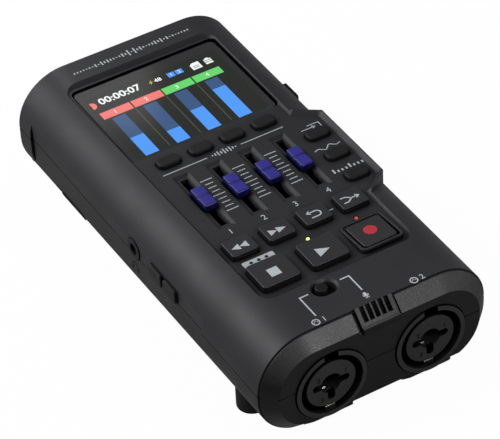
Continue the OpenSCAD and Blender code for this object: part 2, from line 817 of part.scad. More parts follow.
// The ring's top falls from the front to the far side
module record_ring() {
    ring_h = big_h + 2 * ring_t + 2 * ring_gap;
    middle = (ring_rise + ring_far) / 2;
    color("#303032") translate([big_pitch, big_row, panel_z]) intersection() {
        linear_extrude(2 * ring_rise) difference() {
            rounded(ring_w, ring_h, 1.6);
            key_shape(record_w, big_h, 0.3, ring_gap);
        }
        rotate([90, 0, 90]) linear_extrude(2 * ring_w, center = true) polygon([
            [-ring_h, -1], [ring_h, -1],
            [ring_h, middle - ring_rise + ring_far], [-ring_h, middle + ring_rise - ring_far],
        ]);
    }
}

module light(x) {
    translate([x, light_row, board_z]) cylinder(h = panel_z + 0.1 - board_z, r = light_r);
}

module green_light() { color("#c8ff4a") light(0); }
module red_light() { color("#d8453b") light(big_pitch); }

module mic_switch_body() {
    color("#8c8f94") translate([mic_x, mic_row, board_z]) linear_extrude(0.9) square([9, 5], center = true);
}

module mic_switch_knob() {
    low = board_z + 0.9 + slide_gap;
    color("#1c1c1d") translate([mic_x - nub_throw / 2, mic_row, low]) {
        linear_extrude(plate_z - slide_gap - low) square([mic_l + 3, mic_w + 1], center = true);
        cylinder(h = top_z + 0.6 - low, r = nub_r);
    }
}

module mic_capsule() {
    color("#b8bbc0") translate([0, front_y, board_low - 3.6]) rotate([-90, 0, 0]) cylinder(h = 5, r = 3);
}

// Combination jack: a ring in the bezel, a housing behind it and the groove that takes a round plug
module jack_shell(x) {
    color("#2e2e30") difference() {
        union() {
            translate([x, front_y, jack_z]) rotate([90, 0, 0]) cylinder(h = bezel_d + 0.4, r = jack_ring_r);
            block([x - jack_half_w, front_y, jack_z - jack_down], [x + jack_half_w, jack_back, board_low]);
        }
        translate([x, jack_floor, jack_z]) rotate([90, 0, 0]) cylinder(h = groove_d + 2, r = groove_r);
        translate([x, jack_back - 2, jack_z]) rotate([90, 0, 0])
            cylinder(h = jack_l, r = phone_r + jack_gap);
        block([x - 2.2, face_y - 1, jack_z + groove_r - 1], [x + 2.2, face_y + 3, jack_z + jack_ring_r + 1]);
    }
}

module jack_insert(x) {
    depth = groove_d - 0.2;
    color("#3a3a3c") translate([x, jack_floor, jack_z]) rotate([90, 0, 0]) difference() {
        cylinder(h = depth, r = insert_r);
        translate([0, 0, -1]) cylinder(h = depth + 2, r = phone_r);
        for (a = [0, 180, 270]) rotate(a) {
            translate([pin_ring, 0, depth - 8]) cylinder(h = 9, r = pin_r);
            block([0, -pin_r, depth - lobe_d], [pin_ring, pin_r, depth + 1]);
        }
    }
}

module jack_contacts(x) {
    spring_w = 3;
    reach = sqrt(pow(groove_r, 2) - pow(spring_w / 2, 2));
    color("#c8c2a8") {
        block([x - spring_w / 2, face_y + 1, jack_z - reach],
            [x + spring_w / 2, jack_floor, jack_z - reach + 0.6]);
        for (k = [-1:1]) block([x + k * 5 - 0.6, jack_back, jack_z - 0.4],
            [x + k * 5 + 0.6, jack_back + 3, jack_z + 0.4]);
    }
}

module jack_shell_left() { jack_shell(-jack_x); }
module jack_insert_left() { jack_insert(-jack_x); }
module jack_contacts_left() { jack_contacts(-jack_x); }
module jack_shell_right() { jack_shell(jack_x); }
module jack_insert_right() { jack_insert(jack_x); }
module jack_contacts_right() { jack_contacts(jack_x); }

module headphone_jack() {
    back = -fader_pitch * 1.5 - slot_w / 2 - 3.4;
    color("#2a2a2b") difference() {
        union() {
            translate([-flat_x - 0.3, phones_y, side_z]) rotate([0, 90, 0])
                cylinder(h = flat_x + 1.3 - side_plug, r = phones_nose_r);
            block([-side_plug, phones_y - 3.5, side_z - 3.4], [back, phones_y + 3.5, board_low]);
        }
        translate([-half_w, phones_y, side_z]) rotate([0, 90, 0]) cylinder(h = 15, r = phones_r);
    }
}

// Small upright board behind the volume keys, with a switch for each
module side_board() {
    x = -board_half - 5;
    color("#1f5a3c") {
        block([x, volume_y - 9, side_z - 6], [x + 1.2, volume_y + 9, board_low]);
        block([x + 1.1, volume_y - 4, board_low - 3], [-board_half + 2, volume_y + 4, board_low]);
        for (s = [-1, 1]) translate([x, volume_y + s * volume_pitch / 2, side_z]) rotate([0, -90, 0])
            cylinder(h = inner_x + x - side_room - flange_t - key_travel - press_gap, r = 1.5);
    }
}

module volume_key(s) {
    y = volume_y + s * volume_pitch / 2;
    x = side_room - inner_x;
    out = flat_x + volume_rise;
    color("#2a2a2b") {
        translate([-out, y, side_z]) rotate([90, 0, 90]) linear_extrude(out + x + flange_t)
            rounded(volume_l, volume_w, 0.8);
        translate([x, y, side_z]) rotate([90, 0, 90]) linear_extrude(flange_t)
            rounded(volume_l + flange_w, volume_w + 2 * flange_w, 0.8);
    }
}

module volume_up_key() { volume_key(1); }
module volume_down_key() { volume_key(-1); }

module power_switch_body() {
    color("#8c8f94") block([board_half - 2, power_y - 4, seam_z + 0.4],
        [inner_x - side_room - knob_plate - slide_gap, power_y + power_throw + 4, board_low]);
}

module power_knob() {
    x = inner_x - side_room - knob_plate;
    color("#1f1f20") {
        translate([x, power_y, side_z]) rotate([90, 0, 90]) linear_extrude(flat_x + power_rise - x)
            rounded(power_l, power_w, 0.6);
        translate([x, power_y, side_z + knob_lift]) rotate([90, 0, 90]) linear_extrude(knob_plate)
            square([power_l + 3, power_w + 0.8], center = true);
    }
}

module usb_port() {
    color("#9da0a5") difference() {
        union() {
            block([board_half - 3, usb_y - 4.5, side_z - 1.7], [inner_x - 4, usb_y + 4.5, board_low]);
            translate([inner_x - 5, usb_y, side_z]) rotate([90, 0, 90]) linear_extrude(5 + wall - side_flat)
                rounded(9, 3.2, 1.5);
        }
        translate([inner_x - 4, usb_y, side_z]) rotate([90, 0, 90]) linear_extrude(7) rounded(8.4, 2.6, 1.2);
    }
}

module card_slot() {
    color("#9da0a5") difference() {
        block([board_half - 3, card_y - 7, side_z - 1.5], [inner_x - 4, card_y + 7, board_low]);
        block([board_half, card_y - 5.6, side_z - 0.5], [half_w, card_y + 5.6, side_z + 0.5]);
    }
}

// Bay over the cells: a roof and four walls that follow the inside of the lower shell
module battery_tray() {
    color("#2f2f31") intersection() {
        difference() {
            block([-tray_half, tray_y, 0], [tray_half, tray_end, seam_z]);
            block([tray_t - tray_half, tray_in, -1],
                [tray_half - tray_t, tray_end - tray_t, seam_z - tray_t]);
        }
        lower_form(wall + tray_room, front_y, far_y, seam_z);
    }
}

module at_cells() {
    for (k = [0:3]) translate([(k - 1.5) * cell_pitch, tray_in + tray_len / 2, cell_z])
        rotate([0, 0, k % 2 == 0 ? 0 : 180]) rotate([-90, 0, 0]) children();
}

module battery_contacts() {
    color("#c7c9cc") at_cells() {
        translate([0, 0, tray_len / 2 - contact_t]) cylinder(h = contact_t, r = 5);
        translate([0, 0, -tray_len / 2]) cylinder(h = contact_t, r = 5);
        translate([0, 0, -tray_len / 2]) cylinder(h = contact_t + spring_l, r = 3);
    }
}

module battery_cells() {
    color("#b98a3a") at_cells() translate([0, 0, contact_t + spring_l - tray_len / 2]) {
        cylinder(h = cell_l, r = cell_r);
        cylinder(h = cell_l + nub_l, r = 2.6);
    }
}

module speaker() {
    color("#2c2c2d") tilted() translate([0, speaker_y - front_y, wall]) difference() {
        cylinder(h = speaker_h, r = speaker_r);
        translate([0, 0, -eps]) cylinder(h = 1.2, r = speaker_r - 2);
    }
}

module front_feet() {
    color("#1b1b1c") for (s = [-1, 1]) difference() {
        translate([s * foot_x, front_y + foot_y, 0]) cylinder(h = round_r, r = foot_r);
        lower_form(0, front_y, far_y, top_z);
    }
}

module rear_pads() {
    color("#1b1b1c") for (s = [-1, 1]) difference() {
        translate([s * pad_x, far_y - pad_y, 0]) cylinder(h = 2.4, r = pad_r);
        lower_form(0, front_y, far_y, top_z);
    }
}

module screws() {
    tip = seam_z + pilot_l - 0.5;
    color("#8a8c90") at_screws() {
        translate([0, 0, seat_z - head_h]) cylinder(h = head_h, r = head_r);
        translate([0, 0, seat_z - eps]) cylinder(h = tip - seat_z, r = screw_r);
    }
}

top_case();
bottom_case();
front_bezel();
mic_grille();
screen_window();
lcd_module();
main_board();
fader_tracks();
fader_cap_1();
fader_cap_2();
fader_cap_3();
fader_cap_4();
key_switches();
track_key_1();
track_key_2();
track_key_3();
track_key_4();
function_key_1();
function_key_2();
function_key_3();
rewind_key();
forward_key();
undo_key();
merge_key();
stop_key();
play_key();
record_key();
record_ring();
green_light();
red_light();
mic_switch_body();
mic_switch_knob();
mic_capsule();
jack_shell_left();
jack_insert_left();
jack_contacts_left();
jack_shell_right();
jack_insert_right();
jack_contacts_right();
headphone_jack();
side_board();
volume_up_key();
volume_down_key();
power_switch_body();
power_knob();
usb_port();
card_slot();
battery_tray();
battery_contacts();
battery_cells();
battery_cover();
cover_latch();
speaker();
front_feet();
rear_pads();
screws();
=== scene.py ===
# %% [markdown]
# # A handheld audio recorder
# The solids of this recorder come from its CAD model, in metres, with its feet on Z = 0, its jacks towards
# -Y and its screen towards +Y. This notebook dresses them: soft edges, keys, a lit display, print and
# finishes. The solids stay where they are, and every new piece is made in the same frame.

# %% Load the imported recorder
import json
import math

import bpy
import numpy as np
from mathutils import Matrix, Vector


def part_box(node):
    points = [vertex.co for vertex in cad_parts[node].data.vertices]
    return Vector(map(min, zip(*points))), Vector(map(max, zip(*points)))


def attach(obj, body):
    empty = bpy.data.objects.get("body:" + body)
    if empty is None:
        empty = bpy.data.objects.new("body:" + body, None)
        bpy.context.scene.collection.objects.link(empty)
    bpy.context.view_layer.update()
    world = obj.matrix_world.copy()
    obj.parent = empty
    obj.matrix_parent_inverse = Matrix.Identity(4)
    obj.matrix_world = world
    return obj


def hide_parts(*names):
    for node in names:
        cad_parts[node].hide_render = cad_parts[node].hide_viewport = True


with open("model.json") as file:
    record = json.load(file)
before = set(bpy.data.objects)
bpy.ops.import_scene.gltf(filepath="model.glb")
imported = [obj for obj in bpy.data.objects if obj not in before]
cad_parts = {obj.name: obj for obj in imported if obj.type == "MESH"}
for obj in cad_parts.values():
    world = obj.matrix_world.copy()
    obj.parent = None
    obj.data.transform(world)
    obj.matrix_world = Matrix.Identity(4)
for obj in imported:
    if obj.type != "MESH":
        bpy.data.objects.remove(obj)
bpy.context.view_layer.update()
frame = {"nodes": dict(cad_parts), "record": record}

MM = 0.001
nodes = frame["nodes"]
behaviour = frame["record"]["behaviour"]
body_of = {name: body for body, members in behaviour["bodies"].items() for name in members}

# %% [markdown]
# The photograph was taken with a long lens from the front left, about 40 degrees above the table. A camera
# is a direction, a distance and a lens: the direction is an azimuth and an elevation, and a small roll is
# left over from how the picture was levelled. Building the three axes by hand keeps the roll in plain sight.

# %% Camera
EYE_MM = np.array([-294.76, -536.86, 547.18])
AZIMUTH, ELEVATION, ROLL = -28.85, 40.86, -3.22
FOCAL_LENGTH, SENSOR_WIDTH = 205.8, 36.0


def camera_axes(azimuth, elevation, roll):
    """Right, up and back: back points from the object to the camera, right is level and square to it, and
    the roll turns right and up about back."""
    a, e, r = np.radians([azimuth, elevation, roll])
    back = np.array([np.sin(a) * np.cos(e), -np.cos(a) * np.cos(e), np.sin(e)])
    level = np.array([np.cos(a), np.sin(a), 0.0])
    rise = np.cross(back, level)
    return np.cos(r) * level + np.sin(r) * rise, np.cos(r) * rise - np.sin(r) * level, back


lens = bpy.data.cameras.new("lens")
lens.sensor_width = SENSOR_WIDTH
lens.lens = FOCAL_LENGTH
lens.clip_start = 0.05
lens.clip_end = 20.0
camera = bpy.data.objects.new("camera", lens)
bpy.context.scene.collection.objects.link(camera)
pose = np.eye(4)
pose[:3, :3] = np.stack(camera_axes(AZIMUTH, ELEVATION, ROLL), axis=1)
pose[:3, 3] = EYE_MM * MM
camera.matrix_world = Matrix(pose.tolist())
bpy.context.scene.camera = camera
print("camera", np.round(EYE_MM * MM, 3), "lens", lens.lens, "mm")

# %% [markdown]
# Every finish below is a small tree of nodes. One helper adds a node, sets its sockets and links it, and one
# turns an sRGB hex value into the linear colour that the renderer works in. A noise texture's scale is a
# number of cells per metre, so a size in millimetres is turned round.

# %% Helpers for finishes
def linear(code):
    """sRGB hex to linear: a channel c is c / 12.92 in the darkest part, and above that it is
    ((c + 0.055) / 1.055) ** 2.4."""
    c = np.array([int(code[i:i + 2], 16) for i in (1, 3, 5)]) / 255.0
    c = np.where(c <= 0.04045, c / 12.92, ((c + 0.055) / 1.055) ** 2.4)
    return (*c.tolist(), 1.0)


def add(tree, kind, sockets=None, **settings):
    """Adds one node. A socket takes a value, or a pair (node, output) as a link."""
    node = tree.nodes.new(kind)
    for key, value in settings.items():
        setattr(node, key, value)
    for key, value in (sockets or {}).items():
        if isinstance(value, tuple) and isinstance(value[0], bpy.types.Node):
            tree.links.new(value[0].outputs[value[1]], node.inputs[key])
        else:
            node.inputs[key].default_value = value
    return node


def per(size_mm):
    """Cells per metre of a pattern whose features are this many millimetres wide."""
    return 1.0 / (size_mm * MM)


def blank(name):
    """A new material with its tree, its shader and the object's own coordinates."""
    material = bpy.data.materials.new(name)
    material.use_nodes = True
    tree = material.node_tree
    return material, tree, tree.nodes["Principled BSDF"], add(tree, "ShaderNodeTexCoord")


print("middle grey in linear light:", round(linear("#808080")[0], 3))

# %% [markdown]
# Moulded plastic is most of this object. The tool's steel was spark eroded, which leaves a fine even grain,
# and handling polishes it unevenly. So the finish has three layers: cloudy tone, grain in the bump, and
# grain and cloud in the roughness. The real grain is about 0.1 mm, too fine for this picture, and is drawn
# coarser. The shader's bevel rounds the light along edges that are sharp in the CAD solids.

# %% Moulded plastics
CLOUD = 16.0


def moulded(name, tone, worn, rough, grain, depth, ease=0.0, specular=0.35, painted_side_shade=None, painted_shade_reach=0.0):
    """Two tones by a cloud of 16 mm and the grain, a bump of the grain, and roughness that follows both. A
    painted side shade is a third, darker tone for the faces that don't look up: painted shade. With a
    painted shade reach in mm, corners and holes that close in on themselves within it lose colour and gloss:
    painted shade from ambient occlusion."""
    material, tree, shader, spot = blank(name)
    cloud = add(tree, "ShaderNodeTexNoise", {"Vector": (spot, "Object"), "Scale": per(CLOUD), "Detail": 3.0})
    pits = add(tree, "ShaderNodeTexNoise", {"Vector": (spot, "Object"), "Scale": per(grain), "Detail": 3.0,
                                            "Roughness": 0.6})
    blend = add(tree, "ShaderNodeMath", {0: (cloud, "Fac"), 1: (pits, "Fac")}, operation="MULTIPLY")
    reach = add(tree, "ShaderNodeMapRange", {"Value": (blend, 0), "From Min": 0.12, "From Max": 0.4})
    tint = add(tree, "ShaderNodeMix", {0: (reach, 0), 6: linear(tone), 7: linear(worn)}, data_type="RGBA")
    # Painted shade: faces whose normal doesn't look up take the darker side tone.
    if painted_side_shade:
        way = add(tree, "ShaderNodeSeparateXYZ", {"Vector": (spot, "Normal")})
        level = add(tree, "ShaderNodeMapRange", {"Value": (way, "Z"), "From Min": 0.2, "From Max": 0.65})
        tint = add(tree, "ShaderNodeMix", {0: (level, 0), 6: linear(painted_side_shade), 7: (tint, 2)}, data_type="RGBA")
    gloss = add(tree, "ShaderNodeMapRange", {"Value": (blend, 0), "From Min": 0.1, "From Max": 0.4,
                                             "To Min": rough + 0.06, "To Max": rough - 0.06})
    soft = add(tree, "ShaderNodeBevel", {"Radius": ease * MM}, samples=4)
    bump = add(tree, "ShaderNodeBump", {"Strength": 1.0, "Distance": depth * MM, "Height": (pits, "Fac"),
                                        "Normal": (soft, "Normal")})
    shader.inputs["Specular IOR Level"].default_value = specular
    # Painted shade: ambient occlusion darkens colour and specular in corners, creases and holes.
    if painted_shade_reach:
        shade = add(tree, "ShaderNodeAmbientOcclusion", {"Distance": painted_shade_reach * MM}, samples=6)
        clear = add(tree, "ShaderNodeMapRange", {"Value": (shade, "AO"), "From Min": 0.4, "From Max": 0.9,
                                                 "To Min": 0.04})
        tint = add(tree, "ShaderNodeMix", {0: (clear, 0), 6: linear("#000000"), 7: (tint, 2)},
                   data_type="RGBA")
        shaded_specular = add(tree, "ShaderNodeMath", {0: (clear, 0), 1: specular}, operation="MULTIPLY")
        tree.links.new(shaded_specular.outputs[0], shader.inputs["Specular IOR Level"])
    tree.links.new(tint.outputs[2], shader.inputs["Base Color"])
    tree.links.new(gloss.outputs[0], shader.inputs["Roughness"])
    tree.links.new(bump.outputs["Normal"], shader.inputs["Normal"])
    shader.inputs["IOR"].default_value = 1.5
    return material


# The two shells: an even charcoal with a soft sheen along the round edges, and painted shade darkening their
# recesses, creases and gaps.
case_abs = moulded("charcoal_abs_spark_eroded", "#2a2a2d", "#303033", rough=0.47, grain=0.45, depth=0.012,
                   ease=0.2, painted_shade_reach=2.5)
panel_abs = moulded("charcoal_abs_lower_shell", "#2a2a2b", "#2f2f30", rough=0.5, grain=0.45, depth=0.014,
                    ease=0.2, painted_shade_reach=2.5)
# The front end: coarse grain that sparkles on the slanted edge. Its tone is lighter than the shells', a
# painted highlight for that edge; the faces below it have a painted shade near black, and its hollows
# painted shade too.
bezel_abs = moulded("bezel_abs_coarse_grain", "#363637", "#4a4a4b", rough=0.4, grain=0.5, depth=0.06,
                    ease=0.2, specular=0.3, painted_side_shade="#0c0c0d", painted_shade_reach=1.5)
# Grille: coarse grain, with a painted shade near black on the faces that don't look up.
grille_abs = moulded("grille_abs_coarse_grain", "#363637", "#444445", rough=0.5, grain=0.5, depth=0.05,
                     ease=0.1, specular=0.25, painted_side_shade="#0c0c0d")
# Controls: fine matt key tops, satin switches, dull rubber and clear bright blue. The walls of the keys,
# rubber keys and fader caps have a painted shade, near black or dark blue; the fader caps also have painted
# shade in their hollows, and the jacks in their holes and grooves.
key_abs = moulded("key_abs_fine_matt", "#2b2b2e", "#313134", rough=0.45, grain=0.4, depth=0.01,
                  specular=0.4, painted_side_shade="#0a0a0b")
switch_abs = moulded("switch_abs_satin", "#101011", "#171718", rough=0.42, grain=0.35, depth=0.008,
                     ease=0.1, specular=0.3)
jack_pbt = moulded("jack_pbt_glass_filled", "#232324", "#2b2b2c", rough=0.45, grain=0.35, depth=0.012,
                   ease=0.15, specular=0.4, painted_shade_reach=5.0)
shade_abs = moulded("inner_abs_black", "#070707", "#0b0b0b", rough=0.7, grain=0.5, depth=0.01, specular=0.15)
rubber = moulded("silicone_rubber_moulded", "#18181a", "#1f1f21", rough=0.6, grain=0.3, depth=0.012,
                 specular=0.3, painted_side_shade="#0a0a0b")
foot_rubber = moulded("foot_rubber_nitrile", "#171718", "#1f1f20", rough=0.72, grain=0.35, depth=0.03,
                      ease=0.2, specular=0.25)
blue_pc = moulded("blue_polycarbonate", "#2f2c84", "#393596", rough=0.34, grain=0.4, depth=0.006,
                  specular=0.45, painted_side_shade="#0d1048", painted_shade_reach=1.6)
print("moulded finishes:", len(bpy.data.materials))

# %% [markdown]
# The other finishes are few. Nickel, zinc and tin are metals, so their colour is their reflection. The
# window is clear acrylic bonded to the display. A bonded window has no second mirror inside it, so its index
# stays close to that of air, and the gloss comes from the display under it. The display lights itself: its
# colours are emission over a dark glass, with a faint grid for its pixels. Print is a thin matt ink.

# %% Metals, glass, light and ink
PIXEL = 0.12


def metal(name, tone, dull, rough, grain, depth=0.004):
    """Bright metal: a tone that dulls in patches, roughness that follows the patches, and a fine bump."""
    material, tree, shader, spot = blank(name)
    patch = add(tree, "ShaderNodeTexNoise", {"Vector": (spot, "Object"), "Scale": per(grain * 6),
                                             "Detail": 4.0})
    lines = add(tree, "ShaderNodeTexNoise", {"Vector": (spot, "Object"), "Scale": per(grain), "Detail": 2.0})
    tint = add(tree, "ShaderNodeMix", {0: (patch, "Fac"), 6: linear(tone), 7: linear(dull)},
               data_type="RGBA")
    gloss = add(tree, "ShaderNodeMapRange", {"Value": (patch, "Fac"), "To Min": rough - 0.08,
                                             "To Max": rough + 0.12})
    bump = add(tree, "ShaderNodeBump", {"Distance": depth * MM, "Height": (lines, "Fac")})
    tree.links.new(tint.outputs[2], shader.inputs["Base Color"])
    tree.links.new(gloss.outputs[0], shader.inputs["Roughness"])
    tree.links.new(bump.outputs["Normal"], shader.inputs["Normal"])
    shader.inputs["Metallic"].default_value = 1.0
    return material


def lit(name, tone, glow, strength=1.0, pitch=PIXEL):
    """Self-lit colour under gloss: emission between two tones by a pixel grid of a pitch in mm, or by a fine
    noise where there is no pitch."""
    material, tree, shader, spot = blank(name)
    kind = "ShaderNodeTexChecker" if pitch else "ShaderNodeTexNoise"
    cells = add(tree, kind, {"Vector": (spot, "Object"), "Scale": per(pitch or 0.6)})
    tint = add(tree, "ShaderNodeMix", {0: (cells, "Fac"), 6: linear(tone), 7: linear(glow)},
               data_type="RGBA")
    tree.links.new(tint.outputs[2], shader.inputs["Emission Color"])
    shader.inputs["Base Color"].default_value = linear("#060606")
    shader.inputs["Emission Strength"].default_value = strength
    shader.inputs["Specular IOR Level"].default_value = 0.5
    shader.inputs["Roughness"].default_value = 0.08
    return material


def clear_window(name):
    """Clear plastic: it lets all light through, with a faint smear in its tint."""
    material, tree, shader, spot = blank(name)
    smear = add(tree, "ShaderNodeTexNoise", {"Vector": (spot, "Object"), "Scale": per(12)})
    haze = add(tree, "ShaderNodeMix", {0: (smear, "Fac"), 6: linear("#fafbfb"), 7: linear("#ffffff")},
               data_type="RGBA")
    tree.links.new(haze.outputs[2], shader.inputs["Base Color"])
    shader.inputs["Roughness"].default_value = 0.0
    shader.inputs["Transmission Weight"].default_value = 1.0
    shader.inputs["IOR"].default_value = 1.01
    return material


nickel = metal("nickel_plate_bright", "#c9c7c0", "#a3a19a", rough=0.25, grain=0.5)
zinc = metal("zinc_plate_screw", "#9a9ca0", "#77797d", rough=0.38, grain=0.4)
tin = metal("tin_plate_contact", "#c4c4c2", "#9a9a98", rough=0.32, grain=0.5)
window_pmma = clear_window("acrylic_window_bonded")
ground_lcd = lit("display_black_margin", "#2a2a2c", "#2d2d2f")
active_lcd = lit("display_backlit_black", "#232522", "#292b27")
red_lcd = lit("display_red_pixels", "#ee746e", "#f4827b")
green_lcd = lit("display_green_pixels", "#62d368", "#70de76")
blue_lcd = lit("display_blue_pixels", "#4c97f7", "#58a2fd")
dim_lcd = lit("display_dim_blue_pixels", "#38547e", "#405d88")
white_lcd = lit("display_white_pixels", "#eef2f4", "#ffffff")
yellow_lcd = lit("display_yellow_pixels", "#c9b23a", "#d8c24a")
line_lcd = lit("display_divider_pixels", "#5c5e54", "#66685e")
green_led = lit("green_led_epoxy", "#b4ee3c", "#e6ff9a", strength=1.6, pitch=0.0)
red_led = lit("red_led_epoxy", "#a8302a", "#e0685c", strength=0.9, pitch=0.0)
# Inks lie flat and matt. Board, cell sleeve and cone paper are inside, and show only when it is opened.
ink = moulded("pale_grey_screen_ink", "#b4babd", "#bfc5c8", rough=0.55, grain=0.3, depth=0.003, specular=0.3)
red_ink = moulded("red_screen_ink", "#b22f39", "#bd3b44", rough=0.5, grain=0.3, depth=0.003, specular=0.3)
dark_ink = moulded("dark_screen_ink", "#2c2c2f", "#343437", rough=0.55, grain=0.3, depth=0.003, specular=0.3)
board_fr4 = moulded("glass_epoxy_board_black_mask", "#08090a", "#0d0e0f", rough=0.5, grain=1.2, depth=0.02,
                    specular=0.2)
sleeve = moulded("cell_sleeve_printed_film", "#a97d33", "#b98a3a", rough=0.34, grain=0.8, depth=0.004)
paper = moulded("speaker_cone_paper", "#242425", "#2f2f30", rough=0.8, grain=0.4, depth=0.03)
print("all finishes:", len(bpy.data.materials))

# %% [markdown]
# Now the shapes. A piece is a grid of points in millimetres with quads between its rows, put into a mesh in
# one go. The helper hangs it on its body, gives it its finish and, where it stands for a CAD solid, hides
# that solid. Edges sharper than an angle stay sharp, the rest are shaded smooth.

# %% Helpers for shapes
def piece(name, points, faces, body, finish, slot, stands_for=(), sharp=40):
    """A mesh object at the origin from points in millimetres, riding on a body."""
    mesh = bpy.data.meshes.new(name)
    mesh.from_pydata((np.asarray(points) * MM).tolist(), [], [list(map(int, f)) for f in faces])
    mesh.shade_smooth()
    mesh.set_sharp_from_angle(angle=math.radians(sharp))
    mesh.materials.append(finish)
    thing = bpy.data.objects.new(name, mesh)
    bpy.context.scene.collection.objects.link(thing)
    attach(thing, body)
    if stands_for:
        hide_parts(*stands_for)
    return thing


def outline(w, h, r, steps=7):
    """Rounded rectangle, counterclockwise: four quarter turns of radius r about the corner centres."""
    turn = (np.arange(4)[:, None] * 0.5 * np.pi + np.linspace(0.0, 0.5 * np.pi, steps)).ravel()
    x = np.repeat([1, -1, -1, 1], steps) * (w / 2 - r) + r * np.cos(turn)
    y = np.repeat([1, 1, -1, -1], steps) * (h / 2 - r) + r * np.sin(turn)
    return np.stack([x, y], axis=1)


def rings(rows, steps=7):
    """Rows of (width, height, corner radius, level) as rounded rectangles above each other. The result has
    one axis for the rows, one for the points and one for x, y and z."""
    return np.array([np.column_stack([outline(w, h, r, steps), np.full(4 * steps, z)])
                     for w, h, r, z in rows])


def skin(grid, closed=False):
    """Quads between neighbouring rings. Flat faces close the ends, or the last ring joins the first."""
    m, n = grid.shape[:2]
    row, place = np.meshgrid(np.arange(m if closed else m - 1), np.arange(n), indexing="ij")
    above, beside = (row + 1) % m, (place + 1) % n
    corners = [row * n + place, row * n + beside, above * n + beside, above * n + place]
    faces = np.stack(corners, axis=-1).reshape(-1, 4).tolist()
    if not closed:
        faces += [list(range(n - 1, -1, -1)), list(range((m - 1) * n, m * n))]
    return grid.reshape(-1, 3), faces


def joined(*parts):
    """Several (points, faces) as one."""
    starts = np.cumsum([0] + [len(points) for points, _ in parts])
    all_faces = [[v + start for v in face] for (_, faces), start in zip(parts, starts) for face in faces]
    return np.concatenate([points for points, _ in parts]), all_faces


def eased_rows(w, h, r, low, top, ease, draft=0.0, steps=5):
    """Walls with a draft up to a quarter-round edge: the outline grows by ease (cos t - 1), and its level is
    top + ease (sin t - 1). Two more rows lie flat on the top, so that its edge is shaded on its own."""
    t = np.linspace(0.0, 0.5 * np.pi, steps)
    flat = [-draft - ease - 0.1, -draft - ease - 0.3]
    grow = np.concatenate([[0.0], -draft + ease * (np.cos(t) - 1), flat])
    level = np.concatenate([[low], top + ease * (np.sin(t) - 1), [top, top]])
    return [(w + 2 * g, h + 2 * g, max(r + g, 0.05), z) for g, z in zip(grow, level)]


def facing(points, way):
    """Turns a shape that rises along Z so that it rises along -X, +X or -Y, without mirroring it."""
    x, y, z = np.asarray(points).T
    turned = {"left": (-z, -x, y), "right": (z, x, y), "front": (x, -z, y)}[way]
    return np.stack(turned, axis=1)


print("a rounded rectangle has", len(outline(8.0, 6.0, 1.0)), "points")

# %% [markdown]
# The transport keys are hard plastic with a flat top and a small rounded edge. The track and function keys
# are rubber, so their edge is a wide roll. Both are a rounded rectangle carried up a profile: a flange under
# the plate, a wall, and a quarter turn into the top. One function makes all fourteen.

# %% Keys
FOOT, FLANGE, FLANGE_GROW = 32.05, 32.85, 0.6
SMALL_TOP, BIG_TOP, RECORD_TOP = 36.8, 37.0, 35.84
TRACK_Y, SMALL_Y, BIG_Y = 15.4, -27.4, -41.3
FUNCTION_X, FUNCTION_Y = 25.6, 2.5
FADER_PITCH, SMALL_PITCH, BIG_PITCH = 10.4, 11.77, 15.6
DRAFT, SLANT = 0.05, 0.085
# Each kind of key: width, height, corner radius, level of the top and radius of its edge.
RUBBER_KEY = (7.2, 4.2, 1.6, 36.3, 0.55)
SMALL_KEY = (8.4, 7.1, 0.8, SMALL_TOP, 0.3)
BIG_KEY = (11.7, 10.4, 1.0, BIG_TOP, 0.32)
RECORD_KEY = (10.8, 10.5, 1.0, RECORD_TOP, 0.32)


def key(name, x, y, size, finish, slot, slant=0.0):
    """Flange and cap in one loft at (x, y): the outline grows under the plate and eases over at the top,
    which may fall along Y by a slant per millimetre."""
    w, h, r, top, ease = size
    foot = (w + 2 * FLANGE_GROW, h + 2 * FLANGE_GROW, r + FLANGE_GROW)
    grid = rings([(*foot, FOOT), (*foot, FLANGE)] + eased_rows(w, h, r, FLANGE, top, ease, DRAFT))
    cap = grid[3:]
    cap[..., 2] -= slant * cap[..., 1]
    points, faces = skin(grid)
    return piece(name + "_cap", points + [x, y, 0.0], faces, body_of[name], finish, slot, [name])


fader_x = FADER_PITCH * (np.arange(4) - 1.5)
small_x = SMALL_PITCH * (np.arange(4) - 1.5)
for k, x in enumerate(fader_x):
    key(f"track_key_{k + 1}", x, TRACK_Y, RUBBER_KEY, rubber, "black_rubber")
for k, y in enumerate(FUNCTION_Y - FADER_PITCH * np.arange(3)):
    key(f"function_key_{k + 1}", FUNCTION_X, y, RUBBER_KEY, rubber, "black_rubber")
for name, x in zip(["rewind", "forward", "undo", "merge"], small_x):
    key(name + "_key", x, SMALL_Y, SMALL_KEY, key_abs, "key_plastic")
for name, x in [("stop", -BIG_PITCH), ("play", 0.0)]:
    key(name + "_key", x, BIG_Y, BIG_KEY, key_abs, "key_plastic")
key("record_key", BIG_PITCH, BIG_Y, RECORD_KEY, key_abs, "key_plastic", SLANT)

# %% [markdown]
# The record key has a raised frame round it, so that a thumb doesn't press it by accident. It is a band with
# rounded shoulders: a closed profile carried round the outline, which closes on itself both ways. Its top
# falls from the front to the far side, so the profile's points are set down from a slanted plane.

# %% Record ring
PANEL = 35.0
RING_W, RING_H = 13.5, 13.2
RING_MID, RING_FALL = 35.9, 1.2
